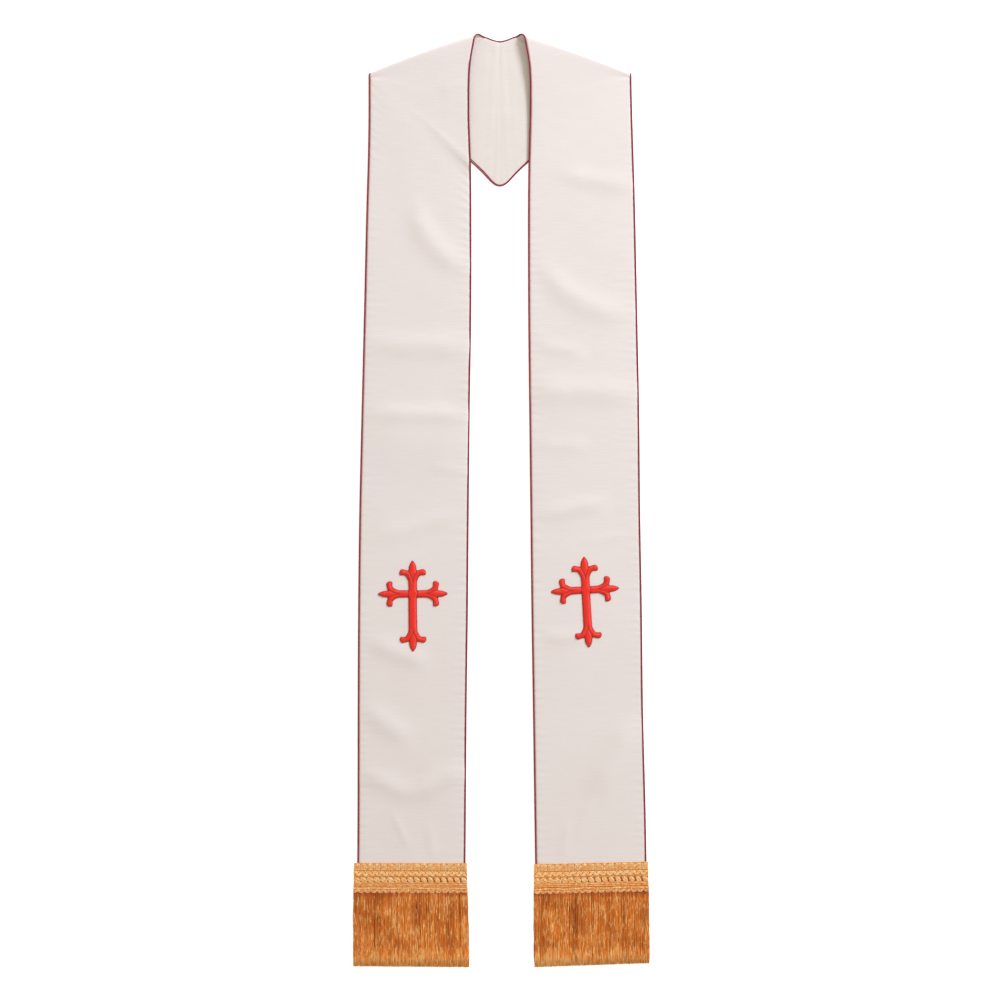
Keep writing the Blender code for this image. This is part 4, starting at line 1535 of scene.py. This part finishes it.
TRIMS = {
    (Side.LEFT, "outer"): Trim(Place(204.5, 1158.2), Place(204.7, 1197.1), Place(205.6, 1303.6)),
    (Side.LEFT, "inner"): Trim(Place(45.7, 1158.6), Place(45.4, 1197.5), Place(42.4, 1304.9)),
    (Side.RIGHT, "inner"): Trim(Place(47.7, 1160.0), Place(47.7, 1198.9), Place(48.3, 1304.9)),
    (Side.RIGHT, "outer"): Trim(Place(208.0, 1156.2), Place(208.5, 1195.1), Place(210.0, 1299.2)),
}


class Motif(Enum):
    """What the yarns of a row of the braid make."""

    COILS = "coils"
    ZIGZAG = "zigzag"
    LEAVES = "leaves"


class GimpRow(NamedTuple):
    """A row of the braid: its middle and half height in mm, and its motif."""

    drop: float
    half_height: float
    motif: Motif


@dataclass
class Hem:
    """The trimming of one hem: where a share of its width and a drop below its top lie."""

    side: Side
    root_drop: float = 38.9
    lap: float = 0.9 * MM
    lap_from: float = 3.0 * MM
    lap_width: float = 9.0 * MM
    ground: float = 1.72 * MM

    def across(self, column: str, share: Any) -> np.ndarray:
        """Places of the cut along one line of the trimming.

        Args:
            column: The line: top, root or end.
            share: Shares of the width, from the inner to the outer side.

        Returns:
            Out and down, in mm.
        """
        inner, outer = (np.array(getattr(TRIMS[self.side, c], column)) for c in ("inner", "outer"))
        return inner + (outer - inner) * np.asarray(share)[..., None]

    def spot(self, share: Any, drop: Any, height: Any) -> np.ndarray:
        """Points on the trimming.

        Args:
            share: Shares of the width, from the inner to the outer side.
            drop: Drops below the upper edge, in mm.
            height: Heights above the cloth that carries the trimming, in metres.

        Returns:
            Points in the model's frame.
        """
        share, drop, height = np.broadcast_arrays(*(np.asarray(v, float) for v in (share, drop, height)))
        top = self.across("top", share)
        plan = (top + (self.across("root", share) - top) * (drop / self.root_drop)[..., None]) * (1, -1) * MM
        from_side = np.minimum(share, 1 - share) * self.width
        lift = self.lap * (1 - smooth((from_side - self.lap_from) / self.lap_width))
        points = np.concatenate([plan, (self.ground + lift + height)[..., None]], axis=-1)
        return placed(self.side, points)

    @property
    def width(self) -> float:
        """The trimming's width along its upper edge, in metres."""
        return (TRIMS[self.side, "outer"].top.out - TRIMS[self.side, "inner"].top.out) * MM


@dataclass
class GimpBraid:
    """The gimp braid: a woven ground under coils, zigzags and leaves of wound yarn, edged by cords."""

    hem: Hem
    rows: tuple[GimpRow, ...] = (
        GimpRow(5.7, 3.9, Motif.COILS),
        GimpRow(15.2, 4.0, Motif.ZIGZAG),
        GimpRow(24.0, 3.3, Motif.LEAVES),
    )
    pitch: float = 9.3
    yarn: float = 0.56
    turns: float = 3.3
    coil_points: int = 76
    zigzag_yarns: tuple[int, int] = (4, 1)
    leaf_slant: float = 0.42
    edge_drops: tuple[float, ...] = (0.9, 10.5, 20.0, 28.0)
    edge_yarn: float = 0.5
    picot: float = 0.45
    picot_pitch: float = 3.1
    ground_top: float = 0.8
    wound: tuple[float, float] = (0.08, 1.25)
    coil_width: float = 0.97
    coil_squareness: float = 0.5
    leaf_squareness: float = 0.85
    leaf_narrowing: float = 0.25
    coil_lift: tuple[float, float] = (0.8, 0.9)
    opens: tuple[float, float] = (0.2, 0.6)
    yarn_gap: float = 2.1
    zigzag_peak: float = 0.97
    zigzag_nested: float = 0.35
    zigzag_lifts: tuple[float, float] = (2.2, 1.0)
    zigzag_points: int = 16
    ribbon_inset: tuple[float, float] = (0.3, 0.5)
    ribbon_margin: float = 0.002
    ribbon_columns: int = 121
    edge_margin: float = 0.001
    edge_points: int = 240
    edge_lift: float = 0.4
    core_rise: float = 0.12
    margin: float = 0.003

    def ribbon(
        self, name: str, finish: Finish, top: float, foot: float, lift: float, solids: Sequence[str] = ()
    ) -> bpy.types.Object:
        """Makes a woven ribbon across the whole hem.

        Args:
            name: What the ribbon is, in its piece's name.
            finish: The ribbon's finish.
            top: The drop of its upper edge, in mm.
            foot: The drop of its lower edge, in mm.
            lift: How far its middle lies above the cloth, in mm.
            solids: The solids that it stands for.

        Returns:
            The piece.
        """
        drops = np.linspace(top, foot, max(3, round((foot - top) / 2)))
        shares = np.linspace(self.ribbon_margin, 1 - self.ribbon_margin, self.ribbon_columns)
        rows = self.hem.spot(shares[None, :], drops[:, None], lift * MM)
        shape = grid_shape(rows, flat_map(rows), self.hem.side is Side.LEFT)
        return finished(f"braid_{name}_{self.hem.side.word}", shape, finish, solids, self.ground_top * MM)

    @property
    def count(self) -> int:
        """How many motifs stand side by side in a row."""
        return round(self.hem.width / (self.pitch * MM))

    def openness(self, share: float) -> float:
        """How far the leaves have drawn apart: they lie closer at the left of each hem."""
        towards_right = share if self.hem.side is Side.RIGHT else 1 - share
        return float(smooth((towards_right - self.opens[0]) / self.opens[1]))

    def coil(self, row: GimpRow, place: int) -> np.ndarray:
        """One coil or leaf: a yarn wound flat from its middle outwards.

        Args:
            row: The row that it stands in.
            place: Which one it is, from the inner side.

        Returns:
            The yarn's line in the model's frame.
        """
        middle = (place + 0.5) / self.count
        leaf = row.motif is Motif.LEAVES
        room = self.hem.width / MM / self.count / 2 - self.yarn
        narrowed = 1.0 - self.leaf_narrowing * self.openness(middle) if leaf else self.coil_width
        wound = np.linspace(*self.wound, self.coil_points)
        grown = np.minimum(wound, 1.0)
        angle = 2 * math.pi * self.turns * wound + place
        power = self.leaf_squareness if leaf else self.coil_squareness
        swing, rise = (np.sign(f) * np.abs(f) ** power for f in (np.cos(angle), np.sin(angle)))
        fall = grown * row.half_height * rise
        lean = self.leaf_slant * fall * self.hem.side.value if leaf else 0.0
        share = middle + (grown * room * narrowed * swing + lean) * MM / self.hem.width
        height = self.ground_top + self.yarn * (self.coil_lift[0] + self.coil_lift[1] * (1 - grown**2))
        return self.hem.spot(np.clip(share, self.margin, 1 - self.margin), row.drop + fall, height * MM)

    def zigzag(self, row: GimpRow, half: int, yarn: int) -> np.ndarray:
        """One of the yarns that cross to and fro along a row.

        Args:
            row: The row.
            half: 0 or 1, for the two opposite ways.
            yarn: Which of the parallel yarns it is.

        Returns:
            The yarn's line in the model's frame.
        """
        t = np.linspace(0.0, self.count, self.count * self.zigzag_points)
        aside = (yarn - (self.zigzag_yarns[half] - 1) / 2) * self.yarn_gap * self.yarn
        swing = 2 / math.pi * np.arcsin(self.zigzag_peak * np.sin(2 * math.pi * t + math.pi * half))
        reach = row.half_height - self.zigzag_nested * abs(aside)
        share = np.clip((t + aside / self.pitch) / self.count, self.margin, 1 - self.margin)
        height = self.ground_top + self.yarn * self.zigzag_lifts[half]
        return self.hem.spot(share, row.drop + reach * swing, height * MM)

    def edge(self, drop: float) -> np.ndarray:
        """One of the cords between the rows, drawn up in small picots.

        Args:
            drop: The cord's drop, in mm.

        Returns:
            The cord's line in the model's frame.
        """
        shares = np.linspace(self.edge_margin, 1 - self.edge_margin, self.edge_points)
        picots = self.picot * np.abs(np.sin(math.pi * shares * self.hem.width / (self.picot_pitch * MM)))
        return self.hem.spot(shares, drop - picots, (self.ground_top + self.edge_lift * self.edge_yarn) * MM)

    def build(self) -> list[bpy.types.Object]:
        """Makes the braid.

        Returns:
            The ground, which stands for the braid's solid, the dark ribbon of painted shade that shows
            between the leaves, the wound motifs, the zigzags and the edge cords.
        """
        word = self.hem.side.word
        coils, zigzag, leaves = self.rows
        above, below = self.ribbon_inset
        reach = leaves.half_height - above
        lift = self.ground_top / 2
        made = [
            self.ribbon("ground", GOLD_GROUND, above, self.hem.root_drop - below, lift, [f"braid_{word}"]),
            # The dark ribbon under the leaves paints the shade in the gaps between them.
            self.ribbon("core", BRAID_SHADE_RIBBON, leaves.drop - reach, leaves.drop + reach, lift + self.core_rise),
        ]
        wound = [self.coil(row, place) for row in (coils, leaves) for place in range(self.count)]
        crossed = [self.zigzag(zigzag, half, k) for half in (0, 1) for k in range(self.zigzag_yarns[half])]
        edges = [self.edge(drop) for drop in self.edge_drops]
        for name, lines, radius in (
            ("motifs", wound, self.yarn),
            ("zigzags", crossed, self.yarn),
            ("edges", edges, self.edge_yarn),
        ):
            made.append(finished(f"braid_{name}_{word}", tubes(lines, radius * MM), GOLD_YARN))
        return made


@dataclass
class Fringe:
    """The fringe: two twisted cords and a scalloped band, from which the cut strands hang."""

    hem: Hem
    cord_drops: tuple[float, float] = (29.9, 32.3)
    cord: float = 0.62
    twist: float = 3.6
    points_per_twist: int = 10
    heading_margin: float = 0.001
    bead_drop: float = 35.6
    bead_pitch: float = 3.1
    bead_half: tuple[float, float] = (1.02, 1.3)
    bead_swing: float = 0.45
    heading_lift: float = 1.5
    cord_swing: float = 0.55
    scallop_drop: float = 37.4
    scallop_pitch: float = 9.0
    scallop_depth: float = 3.8
    scallop_yarns: int = 3
    scallop_roundness: float = 0.6
    scallop_step: float = 0.5
    scallop_least: float = 0.35
    scallop_lift: tuple[float, float, float] = (1.3, 0.5, 0.2)
    strands: int = 1800
    strand: float = 0.38 * MM
    knots: int = 9
    clump_pitch: float = 4.2 * MM
    clump_lean: float = 0.0022
    clump_dye: float = 0.05
    ragged: float = 1.3 * MM
    sway: float = 0.8 * MM
    margin: float = 0.003
    lowest_every: int = 4
    bed: float = 0.42 * MM
    depth_at_root: float = 3.1 * MM
    depth_lost: float = 1.6 * MM
    root: tuple[float, float] = (2.2 * MM, 1.2 * MM)
    root_above: float = 3.6
    gather: float = 0.3
    scatter: tuple[float, float] = (0.007, 0.002)
    ripples: tuple[float, float] = (1.4, 3.6)
    # The lowest strands' tone, its rise towards the uppermost ones, which paints the shade on the lower
    # strands, and its random spread.
    tone: tuple[float, float, float] = (0.25, 0.45, 0.22)
    girth: tuple[float, float] = (0.75, 1.15)
    tip: float = 0.85
    seed: int = 23

    def spiral(self, shares: np.ndarray, pitch: float, half: int) -> np.ndarray:
        """The angle of one of two yarns that wind round each other across the hem."""
        return 2 * math.pi * shares * (self.hem.width / MM) / pitch + math.pi * half

    def heading(self) -> bpy.types.Object:
        """Makes the corded heading: two twisted cords, a row of small loops and scallops below.

        Returns:
            The piece.
        """
        width = self.hem.width / MM
        lines = []
        least, most = self.heading_margin, 1 - self.heading_margin
        shares = np.linspace(least, most, int(width / self.twist * self.points_per_twist))
        for drop in self.cord_drops:
            for half in (0, 1):
                angle = self.spiral(shares, self.twist, half)
                lift = self.heading_lift + self.cord_swing * np.sin(angle)
                lines.append(self.hem.spot(shares, drop + self.cord_swing * np.cos(angle), lift * MM))
        for half in (0, 1):
            angle = self.spiral(shares, self.bead_pitch, half)
            share = np.clip(shares + self.bead_half[0] * np.sin(angle) / width, least, most)
            lift = self.heading_lift + self.bead_swing * np.sin(angle + half)
            lines.append(self.hem.spot(share, self.bead_drop + self.bead_half[1] * np.cos(angle), lift * MM))
        bow = np.abs(np.sin(math.pi * shares * width / self.scallop_pitch)) ** self.scallop_roundness
        base, swell, nested = self.scallop_lift
        for k in range(self.scallop_yarns):
            level = k / (self.scallop_yarns - 1)
            depth = self.scallop_depth * (self.scallop_least + (1 - self.scallop_least) * level)
            drop = self.scallop_drop + self.scallop_step * level + depth * bow
            lines.append(self.hem.spot(shares, drop, (base + swell * bow - nested * level) * MM))
        return finished(f"fringe_heading_{self.hem.side.word}", tubes(lines, self.cord * MM), GOLD_CORD)

    def hanging(self, chance: random.Random, share: float, goal: float, layer: float) -> np.ndarray:
        """One strand, from its root under the heading to its cut end.

        Args:
            chance: Where its unevenness is drawn from.
            share: Where its root is, as a share of the width.
            goal: Where its end is, as a share of the width.
            layer: Where it lies between the lowest strands at 0 and the uppermost at 1.

        Returns:
            The strand's line in the model's frame.
        """
        fall = np.linspace(0.0, 1.0, self.knots)
        root = self.hem.spot(share, self.hem.root_drop - self.root_above, 0.0)
        end = placed(self.hem.side, np.append(self.hem.across("end", goal) * (1, -1) * MM, 0.0))
        end[1] += abs(chance.gauss(0.0, self.ragged))
        line = root + (end - root) * fall[:, None]
        sway = chance.gauss(0.0, self.sway)
        ripples = chance.uniform(*self.ripples)
        start = chance.uniform(0.0, 2 * math.pi)
        line[:, 0] += sway * np.sin(start + ripples * math.pi * fall) * np.sin(math.pi * fall) ** 0.5
        line[:, 2] = self.bed + (self.depth_at_root - self.depth_lost * fall) * layer
        line[0, 2] = self.root[0] + self.root[1] * layer
        return line

    def skirt(self) -> bpy.types.Object:
        """Makes the cut strands, drawn together in small clumps.

        Returns:
            The piece, which stands for the fringe's solid.
        """
        side = self.hem.side
        chance = random.Random(self.seed + side.value)
        clumps = round(self.hem.width / self.clump_pitch)
        lean = [chance.gauss(0.0, self.clump_lean) for _ in range(clumps + 1)]
        dye = [chance.gauss(0.0, self.clump_dye) for _ in range(clumps + 1)]
        dark, lit, uneven = self.tone
        lines, tones, girths = [], [], []
        for k in range(self.strands):
            share = (k + chance.random()) / self.strands
            lowest = k % self.lowest_every == 0
            layer = 0.0 if lowest else chance.random()
            clump = min(int(share * clumps), clumps)
            goal = share
            if not lowest:
                goal += ((clump + 0.5) / clumps - share) * chance.uniform(0.0, self.gather) + lean[clump]
            goal += chance.gauss(0.0, self.scatter[lowest])
            goal = min(max(goal, self.margin), 1 - self.margin)
            lines.append(self.hanging(chance, share, goal, layer))
            # Painted shade: the lower strands, under the upper ones, are darker.
            tone = dark + lit * layer + dye[clump] + chance.gauss(0.0, uneven)
            tones.append(min(max(tone, 0.0), 1.0))
            girth = np.full(self.knots, chance.uniform(*self.girth))
            girth[-1] *= self.tip
            girths.append(girth)
        strands = tubes(lines, self.strand, steps=0, girths=girths, tones=tones)
        return finished(f"fringe_strands_{side.word}", strands, GOLD_THREAD, [f"fringe_{side.word}"])


@dataclass
class Studio:
    """A plain pale floor, soft light from the upper right, and the camera straight above."""

    lens: float = 150.0
    field_of_view: float = 1.4014
    focus_height: float = 0.003
    centre_x: float = -0.0015
    centre_y: float = 0.0
    floor_size: float = 12.0
    key_energy: float = 156.0
    key_size: float = 1.3
    key_place: tuple[float, float, float] = (2.66, 2.75, 2.17)
    key_tint: tuple[float, float, float] = (0.92, 1.0, 1.16)
    world: float = 0.65
    world_tint: tuple[float, float, float] = (1.0, 0.95, 0.85)
    floor_glow: float = 0.55

    def camera(self) -> None:
        """Sets the camera straight above the stole, with +Y up in the picture."""
        data = bpy.data.cameras.new("camera")
        data.lens = self.lens
        data.clip_end = 50.0
        made = bpy.data.objects.new("camera", data)
        distance = self.field_of_view * self.lens / data.sensor_width
        made.location = (self.centre_x, self.centre_y, distance + self.focus_height)
        bpy.context.scene.collection.objects.link(made)
        bpy.context.scene.camera = made

    def lights(self) -> None:
        """Sets a large soft light at the upper right and an even, pale surround."""
        key = bpy.data.lights.new("key", "AREA")
        key.energy = self.key_energy
        key.color = self.key_tint
        key.size = self.key_size
        made = bpy.data.objects.new("key", key)
        made.location = self.key_place
        made.rotation_euler = (-Vector(self.key_place)).to_track_quat("-Z", "Y").to_euler()
        bpy.context.scene.collection.objects.link(made)
        world = bpy.data.worlds.new("surround")
        world.use_nodes = True
        world.node_tree.nodes["Background"].inputs["Color"].default_value = (*self.world_tint, 1.0)
        world.node_tree.nodes["Background"].inputs["Strength"].default_value = self.world
        bpy.context.scene.world = world
        bpy.context.scene.view_settings.view_transform = "Standard"

    def floor(self) -> None:
        """Makes the pale floor that the stole lies on."""
        shape = bmesh.new()
        bmesh.ops.create_grid(shape, x_segments=1, y_segments=1, size=self.floor_size / 2)
        mesh = bpy.data.meshes.new("floor")
        shape.to_mesh(mesh)
        shape.free()
        made = bpy.data.objects.new("floor", mesh)
        paper = bpy.data.materials.new("white_paper_matt")
        paper.use_nodes = True
        shader = paper.node_tree.nodes["Principled BSDF"]
        shader.inputs["Base Color"].default_value = linear("FAFAFA")
        shader.inputs["Roughness"].default_value = 0.9
        shader.inputs["Emission Color"].default_value = (1.0, 1.0, 1.0, 1.0)
        shader.inputs["Emission Strength"].default_value = self.floor_glow
        made.data.materials.append(paper)
        bpy.context.scene.collection.objects.link(made)


def main() -> None:
    """Builds the stole from its pieces and sets the scene."""
    logging.basicConfig(level=logging.INFO, format="%(message)s")
    studio = Studio()
    studio.camera()
    studio.lights()
    studio.floor()
    cut = Cut()
    pipings = {
        Side.LEFT: Piping("piping_outer", "outer_piping", 0, cut).build(),
        Side.RIGHT: Piping("piping_neck", "neck_piping", -1, cut).build(),
    }
    strip = PipingStrip(cut).build()
    LOG.info("%s: %d faces", strip.name, len(strip.data.polygons))
    for side in Side:
        panel = Panel(side, cut)
        half = panel.build()
        yoke = YokeLining(side, cut).build()
        cross = Cross(side, panel, CROSSES[side]).build()
        braid = GimpBraid(Hem(side)).build()
        fringe = Fringe(Hem(side))
        trimmings = [cross, *braid, fringe.heading(), fringe.skirt(), pipings[side]]
        for piece in (half, yoke, *trimmings):
            LOG.info("%s: %d faces", piece.name, len(piece.data.polygons))


if __name__ == "__main__":
    main()
